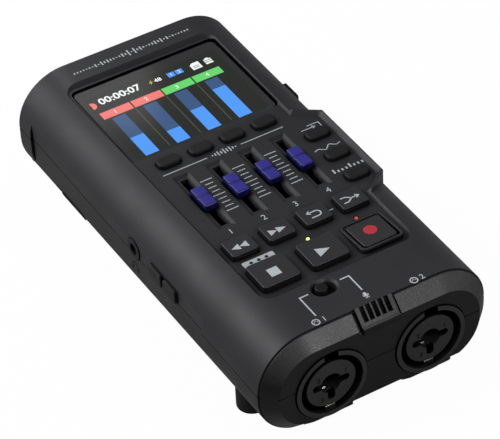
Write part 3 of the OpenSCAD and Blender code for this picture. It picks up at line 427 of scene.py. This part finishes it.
# The profile from the outer wall to the inner one: inset, corner radius and depth below the top.
ring_profile = [(0.0, 1.6, 9.0), (0.0, 1.6, 0.3), (0.04, 1.56, 0.12), (0.13, 1.47, 0.02), (0.25, 1.35, 0.0),
                (0.6, 1.25, 0.0), (0.7, 1.17, 0.05), (0.775, 1.12, 0.2), (0.8, 1.1, 0.4), (0.8, 1.1, 9.0)]
ring_grid = rings([(RING_W - 2 * inset, RING_H - 2 * inset, r, down) for inset, r, down in ring_profile])
ring_top = RING_MID - RING_FALL * ring_grid[..., 1] / RING_H
ring_grid[..., 2] = np.maximum(ring_top - ring_grid[..., 2], PANEL)
ring_points, ring_faces = skin(ring_grid, closed=True)
piece("record_guard", ring_points + [BIG_PITCH, BIG_Y, 0.0], ring_faces, "recorder", case_abs, "key_plastic",
      ["record_ring"])
print("record ring", len(ring_faces), "faces")

# %% [markdown]
# A fader cap is a small block of translucent blue with a groove across it that a fingertip feels. Its
# section is carried along Y: the top falls away at both ends in a quarter turn, the width narrows at the
# corners, and the groove is a dip in the middle. A black lever goes down the slot.

# %% Fader caps
FADER_Y = -4.3
CAP_BASE, CAP_TOP, CAP_HALF, CAP_END = 34.75, 36.9, 1.9, 4.35
EDGE, BOW = 0.32, 0.6
END_NARROWS, END_FALLS = 0.6, 0.9
GROOVE_DEPTH, GROOVE_HALF, GROOVE_SOFT = 0.32, 0.6, 0.03
FOOT_OUT, FOOT_LONG = 0.06, 1.01
LEVER, LEVER_LOW, LEVER_HIGH = (1.4, 6.0, 0.3), 25.7, 35.4


def smooth_step(y):
    """From 0 to 1 round y = 0: one over one plus e to the minus y over the groove's softness."""
    return 1 / (1 + np.exp(-y / GROOVE_SOFT))


def fader_block(x, mid):
    """Sections across the cap at places along Y: half width and height shrink near the ends by a quarter
    circle, the height dips between two smooth steps in the middle, and the walls stand almost upright."""
    straight = CAP_END - BOW
    bend = BOW * np.sin(np.linspace(0, 0.5 * np.pi, 7))
    middle = np.linspace(-straight, straight, 81)[1:-1]
    y = np.concatenate([-straight - bend[::-1], middle, straight + bend])
    over = np.clip(np.abs(y) - straight, 0, BOW)
    drop = BOW - np.sqrt(np.maximum(BOW ** 2 - over ** 2, 0))
    half = (CAP_HALF - END_NARROWS * drop)[:, None]
    groove = GROOVE_DEPTH * (smooth_step(y + GROOVE_HALF) - smooth_step(y - GROOVE_HALF))
    height = (CAP_TOP - END_FALLS * drop - groove)[:, None]
    t = np.linspace(0, 0.5 * np.pi, 5)
    wall_x = np.concatenate([half + FOOT_OUT, half + EDGE * (np.cos(t) - 1)], axis=1)
    wall_y = y[:, None] * np.array([FOOT_LONG] + [1.0] * len(t))
    wall_z = np.concatenate([np.full_like(half, CAP_BASE), height + EDGE * (np.sin(t) - 1)], axis=1)
    wall = np.stack([wall_x, wall_y, wall_z], axis=-1)
    grid = np.concatenate([wall, wall[:, ::-1] * [-1, 1, 1]], axis=1)[::-1]
    points, faces = skin(grid)
    return points + [x, mid, 0.0], faces


for k, x in enumerate(fader_x):
    cap = f"fader_cap_{k + 1}"
    piece(f"fader_block_{k + 1}", *fader_block(x, FADER_Y), body_of[cap], blue_pc, "blue_plastic", [cap])
    lever, lever_faces = skin(rings([(*LEVER, z) for z in (LEVER_LOW, LEVER_HIGH)], 3))
    piece(f"fader_lever_{k + 1}", lever + [x, FADER_Y, 0.0], lever_faces, body_of[cap], shade_abs,
          "switch_plastic")
print("fader caps at mid travel, Y", FADER_Y, "mm")

# %% [markdown]
# Two indicator lights are moulded epoxy with a domed end. The slide switch for the microphone is a short
# round post in an oval well, on a flat shield that hides the switch below.

# %% Lights and the microphone switch
LIGHT_Y, LIGHT_R, LIGHT_LOW, LIGHT_TOP, LIGHT_RISE = -33.7, 0.52, 30.2, 35.12, 0.25
SWITCH_X, SWITCH_Y = -8.4, -54.0
SHIELD_SIZE, SHIELD_LOW, SHIELD_TOP = (9.8, 6.0, 0.4), 31.4, 32.7
POST_SIZE, POST_LOW, POST_TOP, POST_EDGE, POST_DRAFT = (3.8, 3.8, 1.899), 32.6, 36.8, 0.35, 0.1


def dome_rows(r, low, top, rise, steps=6):
    """A round post whose end is a shallow dome: radius r cos t, level top - rise + rise sin t. The turn t
    stops a little short of a quarter, so that the last ring is a small flat face."""
    t = np.linspace(0.0, 0.48 * np.pi, steps)
    dome = [(2 * a, 2 * a, a - 0.0005, z) for a, z in zip(r * np.cos(t), top + rise * (np.sin(t) - 1))]
    return [(2 * r, 2 * r, r - 0.001, low)] + dome


for name, x, finish in [("green_light", 0.0, green_led), ("red_light", BIG_PITCH, red_led)]:
    points, faces = skin(rings(dome_rows(LIGHT_R, LIGHT_LOW, LIGHT_TOP, LIGHT_RISE)))
    slot = name.replace("light", "lens")
    piece(name + "_lens", points + [x, LIGHT_Y, 0.0], faces, "recorder", finish, slot, [name])
shield = skin(rings([(*SHIELD_SIZE, z) for z in (SHIELD_LOW, SHIELD_TOP)], 3))
post = skin(rings(eased_rows(*POST_SIZE, POST_LOW, POST_TOP, POST_EDGE, POST_DRAFT)))
points, faces = joined(shield, post)
piece("mic_switch_post", points + [SWITCH_X, SWITCH_Y, 0.0], faces, "mic_switch", switch_abs,
      "switch_plastic", ["mic_switch_knob"])
print("lights at Y", LIGHT_Y, "mm, switch post at Y", SWITCH_Y, "mm")

# %% [markdown]
# The volume keys on the left are the same idea as the keys on top, turned on its side: a flange behind the
# wall, and a cap with an eased edge.

# %% Volume keys
VOLUME_Y = {"volume_up_key": -11.05, "volume_down_key": -18.95}
VOLUME_Z, VOLUME_FOOT, VOLUME_FLANGE, VOLUME_OUT = 22.2, 32.0, 32.8, 36.17
VOLUME_BACK, VOLUME_CAP, VOLUME_EDGE = (7.4, 5.6, 0.8), (6.8, 4.4, 0.8), 0.3
for name, y in VOLUME_Y.items():
    flange = [(*VOLUME_BACK, z) for z in (VOLUME_FOOT, VOLUME_FLANGE)]
    points, faces = skin(rings(flange + eased_rows(*VOLUME_CAP, VOLUME_FLANGE, VOLUME_OUT, VOLUME_EDGE)))
    points = facing(points, "left") + [0.0, y, VOLUME_Z]
    piece(name + "_cap", points, faces, body_of[name], switch_abs, "key_plastic", [name])
print("volume keys out to X", round(points[:, 0].min(), 2), "mm")

# %% [markdown]
# Print and the display's picture are flat shapes. Each is a polygon lifted into a thin slab, which a render
# shows as cleanly as a texture would, at any size. Lines, arcs and figures are helpers that give polygons.

# %% Flat shapes
def slab(polygons, low, high):
    """Each flat counterclockwise polygon as a thin closed plate between two levels."""
    parts = []
    for flat in polygons:
        flat = np.asarray(flat, float)
        n = len(flat)
        points = np.concatenate([np.column_stack([flat, np.full(n, z)]) for z in (low, high)])
        i = np.arange(n)
        j = (i + 1) % n
        walls = np.stack([i, j, j + n, i + n], axis=1).tolist()
        parts.append((points, walls + [list(range(n - 1, -1, -1)), list(range(n, 2 * n))]))
    return joined(*parts)


def bar(x, y, w, h):
    """Rectangle from its low left corner."""
    return np.array([[x, y], [x + w, y], [x + w, y + h], [x, y + h]])


def stroke(way, width):
    """A line of a width along points, mitred at its bends: both sides are offset by half the width."""
    way = np.asarray(way, float)
    step = np.diff(way, axis=0)
    step /= np.linalg.norm(step, axis=1)[:, None]
    side = np.stack([-step[:, 1], step[:, 0]], axis=1)
    first, last = np.vstack([side[:1], side]), np.vstack([side, side[-1:]])
    mitre = first + last
    mitre *= width / np.sum(mitre * first, axis=1)[:, None] / 2
    return np.concatenate([way - mitre, (way + mitre)[::-1]])


def arc(x, y, r, a0, a1, n=13):
    """Points on a circle between two angles in degrees."""
    a = np.radians(np.linspace(a0, a1, n))
    return np.stack([x + r * np.cos(a), y + r * np.sin(a)], axis=1)


def figures(name, words, size, x, y, levels, finish, slot, bold=0.0, way=None):
    """Plain figures from Blender's own font as a thin plate between two levels: the text is made a mesh,
    then put in its place. Bold grows the strokes by that many millimetres on each side."""
    low, high = levels
    curve = bpy.data.curves.new(name, "FONT")
    curve.body = words
    curve.size = size
    curve.align_x = "CENTER"
    curve.align_y = "CENTER"
    curve.extrude = (high - low) / 2
    curve.resolution_u = 3
    curve.offset = bold
    holder = bpy.data.objects.new(name + "_text", curve)
    bpy.context.scene.collection.objects.link(holder)
    bpy.context.view_layer.update()
    mesh = bpy.data.meshes.new_from_object(holder.evaluated_get(bpy.context.evaluated_depsgraph_get()))
    bpy.data.objects.remove(holder)
    co = np.zeros(3 * len(mesh.vertices))
    mesh.vertices.foreach_get("co", co)
    points = co.reshape(-1, 3) + [x, y, (low + high) / 2]
    points = facing(points, way) if way else points
    return piece(name, points, [p.vertices for p in mesh.polygons], "recorder", finish, slot, sharp=30)


print("a bent line of 3 points has", len(stroke([[0, 0], [1, 0], [1, 1]], 0.2)), "corners")

# %% [markdown]
# The display is a colour panel close under its window. Its picture is drawn as thin plates of lit colour:
# four name strips, four level bars, dividers, a counter and a few small signs, on a black ground with a
# dark border. Plates that lie over others stand higher by a hundredth of a millimetre or two.

# %% Display picture
LCD = "display"
PICTURE, WINDOW_Y = 34.3, 39.45
PLATE = (PICTURE - 0.01, PICTURE + 0.02)
OVER_PLATE = (PICTURE + 0.02, PICTURE + 0.04)
THROUGH_PLATE = (PICTURE - 0.01, PICTURE + 0.04)
COLUMN = 10.22
STRIP_X, STRIP_Y, STRIP_H = -21.0, 43.1, 3.25
BAR_X, BAR_LOW, BAR_TOP, BAR_W = -18.95, 22.3, 42.4, 4.31
SIGN_Y = 50.65
ground = rings([(47.2, 37.5, 1.8, z) for z in (PICTURE - 0.02, PICTURE)]) + [0.0, WINDOW_Y, 0.0]
piece("display_ground", *skin(ground), "recorder", ground_lcd, LCD)
active = bar(-21.9, 21.9, 43.6, 32.4)
piece("display_active", *slab([active], PICTURE - 0.01, PICTURE + 0.005), "recorder", active_lcd, LCD)
outer, inner = (47.5, 37.8, 1.9), (46.9, 37.3, 1.7)
under, over = PICTURE - 0.02, PICTURE + 0.03
border = rings([(*outer, under), (*outer, over), (*inner, over), (*inner, under)]) + [0.0, WINDOW_Y, 0.0]
piece("display_border", *skin(border, closed=True), "recorder", shade_abs, LCD)
strip_x = STRIP_X + COLUMN * np.arange(4)
bar_x = BAR_X + COLUMN * np.arange(4)
fill_y = [31.7, 28.6, 32.9, 37.7]
strips = [bar(x, STRIP_Y, w, STRIP_H) for x, w in zip(strip_x, [9.75, 9.75, 9.75, 9.2])]
marker = arc(-21.3, 50.35, 1.65, -90, 90)
cell = [bar(16.5, 49.0, 2.4, 2.35), bar(17.1, 51.35, 1.2, 0.5)]
card = [[[11.9, 48.7], [15.0, 48.7], [15.0, 51.9], [12.8, 51.9], [11.9, 51.1]]]
flash = [[[-1.9, 49.5], [-0.7, 50.9], [-1.35, 50.9], [-0.9, 51.9], [-2.1, 50.5], [-1.45, 50.5]]]
shapes = {
    "display_red_strips": (strips[:2] + [marker], red_lcd),
    "display_green_strips": (strips[2:], green_lcd),
    "display_bars_dim": ([bar(x, y, BAR_W, BAR_TOP - y) for x, y in zip(bar_x, fill_y)], dim_lcd),
    "display_bars_bright": ([bar(x, BAR_LOW, BAR_W, y - BAR_LOW) for x, y in zip(bar_x, fill_y)], blue_lcd),
    "display_dividers": ([bar(x, 22.6, 0.18, 20.0) for x in strip_x[1:] - 0.35], line_lcd),
    "display_badges": ([bar(x, 49.6, 2.3, 2.1) for x in (4.2, 6.9)], blue_lcd),
    "display_state_signs": (cell + card, white_lcd),
    "display_flash": (flash, yellow_lcd),
}
for name, (polygons, finish) in shapes.items():
    piece(name, *slab(polygons, *PLATE), "recorder", finish, LCD)
cell_gaps = [bar(16.5, y, 2.4, 0.25) for y in (49.8, 50.6)]
card_gaps = [bar(12.5, y, 1.9, 0.22) for y in (49.4, 50.1)]
piece("display_sign_gaps", *slab(cell_gaps + card_gaps, PICTURE + 0.01, PICTURE + 0.03), "recorder",
      ground_lcd, LCD)
figures("display_counter", "00:00:07", 3.95, -11.75, 50.85, PLATE, white_lcd, LCD, bold=0.09)
figures("display_volts", "48", 2.3, 0.9, SIGN_Y, PLATE, white_lcd, LCD, bold=0.05)
for k, x in enumerate([5.35, 8.05]):
    figures(f"display_badge_{k + 1}", str(k + 1), 1.9, x, SIGN_Y, OVER_PLATE, white_lcd, LCD)
for k, x in enumerate(strip_x):
    figures(f"display_number_{k + 1}", str(k + 1), 2.3, x + 4.5, 44.7, THROUGH_PLATE, white_lcd, LCD)
print("display picture", len(shapes), "groups of plates")

# %% [markdown]
# The print on the case is pale screen ink: scales beside the faders, numbers, a tag over a key, and two
# lines that lead from the switch to what it selects. It is about 0.02 mm thick, and lies on the surface
# under it.

# %% Print on the panel and the deck
DECK = 36.2
INK, INK_ROOT = 0.02, 0.03
PANEL_INK, DECK_INK = [(level - INK_ROOT, level + INK) for level in (PANEL, DECK)]
LINE, BOLD_LINE = 0.3, 0.42
TICKS, TICK_TOP, TICK_STEP, TICK_X = 9, 3.0, 1.825, -10.63
LONG_TICK, SHORT_TICK = 3.84, 2.6
TAG_X, TAG_Y = -BIG_PITCH, -33.75


def inked(name, polygons, level, body="recorder", finish=ink):
    """Ink of 0.02 mm over a flat surface."""
    return piece(name, *slab(polygons, level - INK_ROOT, level + INK), body, finish, "key_plastic")


tick_y = TICK_TOP - TICK_STEP * np.arange(TICKS)
tick_l = np.where(np.arange(TICKS) % 4 == 0, LONG_TICK, SHORT_TICK)
tick_x = TICK_X + FADER_PITCH * np.arange(3)
ticks = [bar(x - l / 2, y - LINE / 2, l, LINE) for x in tick_x for y, l in zip(tick_y, tick_l)]
inked("fader_scales", ticks, PANEL)
inked("track_line", [bar(-19.8, 10.93, 14.3, LINE), bar(5.5, 10.93, 13.9, LINE)], PANEL)
wave_h = np.array([0.5, 1.1, 1.9, 1.2, 2.2, 1.5, 2.0, 1.0, 0.5])
wave_x = 0.95 * (np.arange(9) - 4)
inked("track_sign", [bar(x - 0.2, 11.1 - h / 2, 0.4, h) for x, h in zip(wave_x, wave_h)], PANEL)
for k, x in enumerate([-15.95, -5.35, 4.85, 15.45]):
    figures(f"track_number_{k + 1}", str(k + 1), 3.0, x, -19.65, PANEL_INK, ink, "key_plastic")
inked("option_tag", [outline(9.8, 2.35, 0.5) + [TAG_X, TAG_Y]], PANEL)
dots = [arc(TAG_X + shift, TAG_Y, 0.55, 0, 330, 12) for shift in (-2.4, 0.0, 2.4)]
inked("option_dots", dots, PANEL + INK, finish=dark_ink)
inked("key_dash", [bar(10.7, -27.25, 1.5, 0.32)], PANEL)
inked("switch_lines", [stroke([[-12.5, -54.05], [-15.2, -54.05], [-15.2, -62.2]], BOLD_LINE),
                       stroke([[0.4, -60.4], [0.4, -53.75], [-2.4, -53.75]], BOLD_LINE)], DECK)
print("scale marks:", len(ticks))

# %% [markdown]
# Beside each control goes a sign for what it does. A plug going into a box stands for the input, a wave for
# the effects, a row of beats for the rhythm. On the deck, a round socket with three pins and a number stands
# over each jack and a small microphone beside the grille. The far edge carries a plain waveform.

# %% Signs beside the controls
def ring(x, y, r, width):
    """A circle as a closed line of a width: out along one edge and back along the other."""
    return np.vstack([arc(x, y, r + width / 2, 0, 360, 33), arc(x, y, r - width / 2, 360, 0, 33)])


into_box = [stroke([[22.6, 6.3], [26.6, 6.3]], LINE), [[26.2, 5.6], [27.4, 6.3], [26.2, 7.0]],
            stroke([[25.2, 7.5], [28.9, 7.5], [28.9, 5.1], [25.2, 5.1]], LINE)]
swing = np.linspace(-4.2, 4.2, 41)
swing_y = -3.55 + 0.8 * np.sin(1.5 * swing) * np.cos(0.36 * swing)
wave = [stroke(np.column_stack([25.2 + swing, swing_y]), LINE)]
beats = [bar(20.6 + 1.3 * k, -14.75, 0.55, 1.75 if k % 4 == 0 else 0.95) for k in range(8)]
inked("input_label", into_box, PANEL)
inked("effect_label", wave, PANEL)
inked("rhythm_label", beats, PANEL)
for name, x, y, number in [("left", -16.5, -64.35, "1"), ("right", 13.9, -64.85, "2")]:
    pins = [arc(px, py, 0.2, 0, 330, 12) for px, py in arc(x, y, 0.5, 0, 180, 3)]
    inked(name + "_jack_label", [ring(x, y, 1.05, LINE)] + pins, DECK)
    figures(name + "_jack_number", number, 2.6, x + 2.6, y, DECK_INK, ink, "key_plastic")
capsule = [outline(0.9, 1.5, 0.44) + [0.1, -62.25], stroke(arc(0.1, -62.35, 0.8, 180, 360), 0.25),
           bar(-0.02, -63.7, 0.24, 0.55), bar(-0.5, -63.8, 1.2, 0.22)]
inked("mic_label", capsule, DECK)
far_x = np.linspace(-19.0, 19.0, 39)
far_h = 0.35 + 2.5 * np.abs(np.sin(1.7 * far_x) * np.cos(0.31 * far_x)) * np.exp(-(far_x / 15.0) ** 2)
inked("far_waveform", [bar(x - 0.22, 64.6 - h / 2, 0.44, h) for x, h in zip(far_x, far_h)], DECK)

# %% [markdown]
# The transport keys carry the signs that every tape and disc machine has: arrows, a square and a red dot.
# Two more have an arrow that turns back and two lines that join. All ride on their keys. The record key's
# top is slanted, so its dot is slanted with it.

# %% Signs on the keys
left_signs = [[[x, -28.0], [x + 2.5, -29.25], [x + 2.5, -26.75]] for x in (-20.6, -18.1)]
right_signs = [[[x, -26.7], [x, -29.1], [tip, -27.9]] for x, tip in ((-8.65, -6.2), (-6.2, -3.4))]
inked("rewind_sign", left_signs, SMALL_TOP, "rewind_key_body")
inked("forward_sign", right_signs, SMALL_TOP, "forward_key_body")
turn_back = [stroke(np.vstack([arc(6.6, -27.9, 1.1, -90, 90), [[4.6, -26.8]]]), BOLD_LINE),
             stroke([[4.4, -29.0], [6.6, -29.0]], BOLD_LINE), [[3.7, -26.8], [4.9, -27.7], [4.9, -25.9]]]
inked("undo_sign", turn_back, SMALL_TOP, "undo_key_body")
merge = [stroke([[14.9, -26.6], [16.4, -26.6], [17.9, -27.7], [19.4, -27.7]], BOLD_LINE),
         stroke([[14.9, -28.8], [16.4, -28.8], [17.9, -27.7]], BOLD_LINE),
         [[20.5, -27.7], [19.2, -26.8], [19.2, -28.6]]]
inked("merge_sign", merge, SMALL_TOP, "merge_key_body")
inked("stop_sign", [bar(-17.3, -43.6, 3.2, 3.25)], BIG_TOP, "stop_key_body")
inked("play_sign", [[[-2.15, -40.3], [-2.15, -43.85], [1.8, -42.05]]], BIG_TOP, "play_key_body")
dot, dot_faces = slab([arc(15.53, -40.82, 1.95, 0, 352, 45)], RECORD_TOP - INK_ROOT, RECORD_TOP + INK)
dot[:, 2] -= SLANT * (dot[:, 1] - BIG_Y)
piece("record_sign", dot, dot_faces, "record_key_body", red_ink, "key_plastic")

# %% [markdown]
# The sides carry small marks pressed into the plastic. Most are drawn as black plates, a painted shade for
# the hollow of a pressed mark, and the volume signs are dark ink. They are drawn flat like the print and
# then turned to face their side. The battery cover has ribs for a thumb, which follow its underside: that
# falls towards the screen end, as the cover's own slide does.

# %% Pressed marks on the sides
SIDE, MARK = 35.2, 0.28
RIBS, RIB_STEP, RIB_W, RIB_H, RIB_START = 5, 2.0, 16.0, 0.8, -8.0
JACK_X, JACK_Z = {"left": -15.7, "right": 15.7}, 18.0
INSERT_FACE = (69.76, 69.82)


# The default black finish of a mark is painted shade for its pressed hollow.
def pressed(name, polygons, level, way, body="recorder", finish=shade_abs):
    """A mark of 0.03 mm on a side that faces left, right or front, at a distance from the middle."""
    points, faces = slab(polygons, level - 0.05, level + 0.03)
    return piece(name, facing(points, way), faces, body, finish, "switch_plastic")


for name, y in VOLUME_Y.items():
    sign = [bar(-y - 0.9, VOLUME_Z - LINE / 2, 1.8, LINE)]
    if name == "volume_up_key":
        sign.append(bar(-y - LINE / 2, VOLUME_Z - 0.9, LINE, 1.8))
    pressed(name.replace("key", "mark"), sign, VOLUME_OUT, "left", body_of[name], dark_ink)
band = [stroke(arc(-2.0, 15.6, 1.5, 0, 180), 0.32), bar(-3.85, 14.2, 0.75, 1.5), bar(-0.9, 14.2, 0.75, 1.5)]
pressed("headphone_mark", band, SIDE, "left")
card_edge = [[-16.3, 14.4], [-16.3, 16.9], [-14.4, 16.9], [-13.4, 16.0], [-13.4, 14.4], [-16.3, 14.4]]
plug = [stroke([[2.2, 14.0], [2.2, 17.0]], MARK), [[1.7, 16.8], [2.7, 16.8], [2.2, 17.6]],
        stroke([[2.2, 14.8], [3.1, 15.5], [3.1, 16.3]], MARK),
        stroke([[2.2, 14.4], [1.3, 15.1], [1.3, 15.8]], MARK)]
start = [stroke(arc(36.6, 15.6, 1.3, 120, 420, 25), LINE), bar(36.45, 15.7, LINE, 1.7)]
for name, marks in [("card_mark", [stroke(card_edge, MARK)]), ("data_mark", plug), ("power_mark", start)]:
    pressed(name, marks, SIDE, "right")
# The pin numbers on the jack inserts are black as well: painted shade for pressed figures.
for side, x in JACK_X.items():
    for number, dx, dz in [("1", 4.6, 2.5), ("2", -3.8, 2.6), ("3", -2.85, -4.9)]:
        figures(f"pin_mark_{side}_{number}", number, 2.1, x + dx, JACK_Z + dz, INSERT_FACE, shade_abs,
                "jack_plastic", bold=0.04, way="front")
cover_box = np.array(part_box("battery_cover")) / MM
cover_low, cover_far = cover_box[0, 2], cover_box[1, 1]
slides = {joint["name"]: joint["axis"] for joint in behaviour["joints"]}
cover_fall = -slides["battery_cover_slide"][2] / slides["battery_cover_slide"][1]
rib_y = cover_box[:, 1].mean() + RIB_START + RIB_STEP * np.arange(RIBS)
ribs = [bar(-RIB_W / 2, y, RIB_W, RIB_H) for y in rib_y]
rib_points, rib_faces = slab(ribs, cover_low - 0.2, cover_low + 0.1)
rib_points[:, 2] += cover_fall * (cover_far - rib_points[:, 1])
piece("cover_ribs", rib_points, rib_faces, body_of["battery_cover"], panel_abs, "charcoal_plastic")

# %% [markdown]
# Behind the grille's slots lies a black plate, a painted shade that keeps the slots dark, and thin black
# plates on the edge of the deck paint the shade of the slots where they run on across it. Each jack shows
# bright metal
# in two places: the ground spring at the foot of its groove, and the edge of a socket in one lobe. Both are
# rolled strips, so some part of their curve always catches a light.

# %% Grille shade plates and jack contacts
SLOT_PITCH, SLOTS = 1.9, 5


def run(profile, places):
    """A profile of (y, z) points carried along X: one copy of it at each place."""
    return skin(np.array([[(x, y, z) for y, z in profile] for x in places]))


slot_x = SLOT_PITCH * (np.arange(SLOTS) - 2)
# Painted shade: a black plate behind the slots.
shade_plate = [[-66.3, 35.63], [-66.2, 35.73], [-69.3, 32.63], [-69.4, 32.53]]
piece("grille_shade_plate", *run(shade_plate, (-4.7, 4.7)), "recorder", shade_abs, "grille_plastic")
# Painted shade: thin black plates on the deck's edge where the slots run on across it.
notch_shade_plate = [[-65.75, 35.72], [-65.68, 35.72], [-65.68, 36.12], [-65.75, 36.12]]
notch_shade_plates = [run(notch_shade_plate, (x - 0.7, x + 0.7)) for x in slot_x]
piece("grille_notch_shade", *joined(*notch_shade_plates), "recorder", shade_abs, "grille_plastic")
turn = np.linspace(0, 2 * np.pi, 17)[:-1]
spring = np.column_stack([-69.2 - 0.28 * np.cos(turn), 9.75 + 0.28 * np.sin(turn)])
bead = np.column_stack([-69.3 - 0.25 * np.cos(turn), 17.1 + 0.25 * np.sin(turn)])
for side, x in JACK_X.items():
    spring_x = x + np.linspace(-1.7, 1.1, 5)
    bead_x = x - 2.2 + np.array([-0.5, -0.2, 0.2, 0.5])
    rolled = joined(run(spring, spring_x), run(bead, bead_x))
    piece(f"jack_springs_{side}", *rolled, "recorder", nickel, "contact_metal")
print("grille cloth and", len(slot_x), "notch_shade_plates")

# %% [markdown]
# The remaining solids keep their CAD shape. Each takes the finish of its real material.

# %% Finishes of the CAD solids
finish_of = {
    case_abs: ["top_case"],
    panel_abs: ["bottom_case", "battery_cover"],
    bezel_abs: ["front_bezel"],
    grille_abs: ["mic_grille"],
    window_pmma: ["screen_window"],
    shade_abs: ["lcd_module", "battery_tray", "fader_tracks", "mic_switch_body"],
    board_fr4: ["main_board", "side_board"],
    zinc: ["screws", "power_switch_body", "key_switches", "card_slot"],
    nickel: ["jack_contacts_left", "jack_contacts_right", "mic_capsule", "usb_port"],
    tin: ["battery_contacts"],
    jack_pbt: ["jack_shell_left", "jack_shell_right", "jack_insert_left", "jack_insert_right"],
    switch_abs: ["headphone_jack", "power_knob", "cover_latch"],
    sleeve: ["battery_cells"],
    paper: ["speaker"],
    foot_rubber: ["front_feet", "rear_pads"],
}
for finish, names in finish_of.items():
    for name in names:
        nodes[name].data.materials.clear()
        nodes[name].data.materials.append(finish)
print("finished solids:", sum(len(v) for v in finish_of.values()))

# %% [markdown]
# The stage is a white floor under soft light. The floor is white to the camera and to reflections, and keeps
# the recorder's shadow. A soft light from the left gives the casing's side its sheen, one from above fills
# the deck, and one low on the right fills the far sides without a reflection of its own. The world fills
# the rest, and is white to the camera. Two small lamps stand near the far deck and the slanted front edge,
# and the last one is a window whose reflection lies across the display's corner.

# %% Stage and light
FLOOR_HALF, FLOOR_Z = 4, -0.0002
FILL = 0.16
MIDDLE = (0, 0, 0.02)


def studio_floor():
    """White sheet: even white for the camera, apart from a share that takes the shadow, and grey card for
    the light that it throws back."""
    material, tree, shader, _ = blank("floor_sheet_white")
    path = add(tree, "ShaderNodeLightPath")
    seen = add(tree, "ShaderNodeMath", {0: (path, "Is Camera Ray"), 1: (path, "Is Transmission Ray")},
               operation="MAXIMUM")
    glint = add(tree, "ShaderNodeMath", {0: (path, "Is Glossy Ray"), 1: 0.1}, operation="MULTIPLY")
    part = add(tree, "ShaderNodeMath", {0: (seen, 0), 1: 0.9, 2: (glint, 0)}, operation="MULTIPLY_ADD")
    white = add(tree, "ShaderNodeEmission", {"Color": (1.0, 1.0, 1.0, 1.0), "Strength": 1.08})
    mix = add(tree, "ShaderNodeMixShader", {0: (part, 0), 1: (shader, 0), 2: (white, 0)})
    shader.inputs["Base Color"].default_value = linear("#8c8c8c")
    shader.inputs["Roughness"].default_value = 0.9
    shader.inputs["Specular IOR Level"].default_value = 0.0
    tree.links.new(mix.outputs[0], tree.nodes["Material Output"].inputs["Surface"])
    return material


sheet = bpy.data.meshes.new("floor")
corners = [(x * FLOOR_HALF, y * FLOOR_HALF, FLOOR_Z) for x, y in [(-1, -1), (1, -1), (1, 1), (-1, 1)]]
sheet.from_pydata(corners, [], [(0, 1, 2, 3)])
sheet.materials.append(studio_floor())
floor = bpy.data.objects.new("floor", sheet)
bpy.context.scene.collection.objects.link(floor)


def softbox(name, place, aim, size, watts):
    """A square area light at a place in metres that faces a point: its -Z axis is turned along the way."""
    lamp = bpy.data.lights.new(name, "AREA")
    lamp.size = size
    lamp.energy = watts
    thing = bpy.data.objects.new(name, lamp)
    thing.location = place
    way = Vector(aim) - thing.location
    thing.rotation_euler = way.to_track_quat("-Z", "Y").to_euler()
    thing.visible_camera = False
    bpy.context.scene.collection.objects.link(thing)
    return thing


softbox("left_light", (-0.36, 0.4, 0.25), MIDDLE, size=0.36, watts=0.78)
softbox("top_light", (-0.6, 0.3, 0.7), MIDDLE, size=0.5, watts=5.3)
right_light = softbox("right_light", (0.75, -0.12, 0.2), MIDDLE, size=0.38, watts=2.4)
right_light.visible_glossy = False
right_light.visible_transmission = False
softbox("chamfer_light", (0.026, -0.146, 0.113), (-0.012, -0.068, 0.034), size=0.04, watts=0.06)
softbox("deck_light", (0.0, 0.175, 0.145), (-0.01, 0.06, 0.036), size=0.05, watts=0.04)
window_light = softbox("window_light", (0.29, 0.706, 0.6), (0.29, 0.706, 0.0), size=0.067, watts=0.0135)
window_light.rotation_euler = (0.0, 0.0, math.radians(-27.6))
world = bpy.data.worlds.new("studio")
bpy.context.scene.world = world
world.use_nodes = True
sky = world.node_tree.nodes["Background"]
sky.inputs["Color"].default_value = (1.0, 1.0, 1.0, 1.0)
ray = add(world.node_tree, "ShaderNodeLightPath")
glow = add(world.node_tree, "ShaderNodeMath", {0: (ray, "Is Camera Ray"), 1: 1.0 - FILL, 2: FILL},
           operation="MULTIPLY_ADD")
world.node_tree.links.new(glow.outputs[0], sky.inputs["Strength"])
bpy.context.scene.view_settings.view_transform = "Standard"
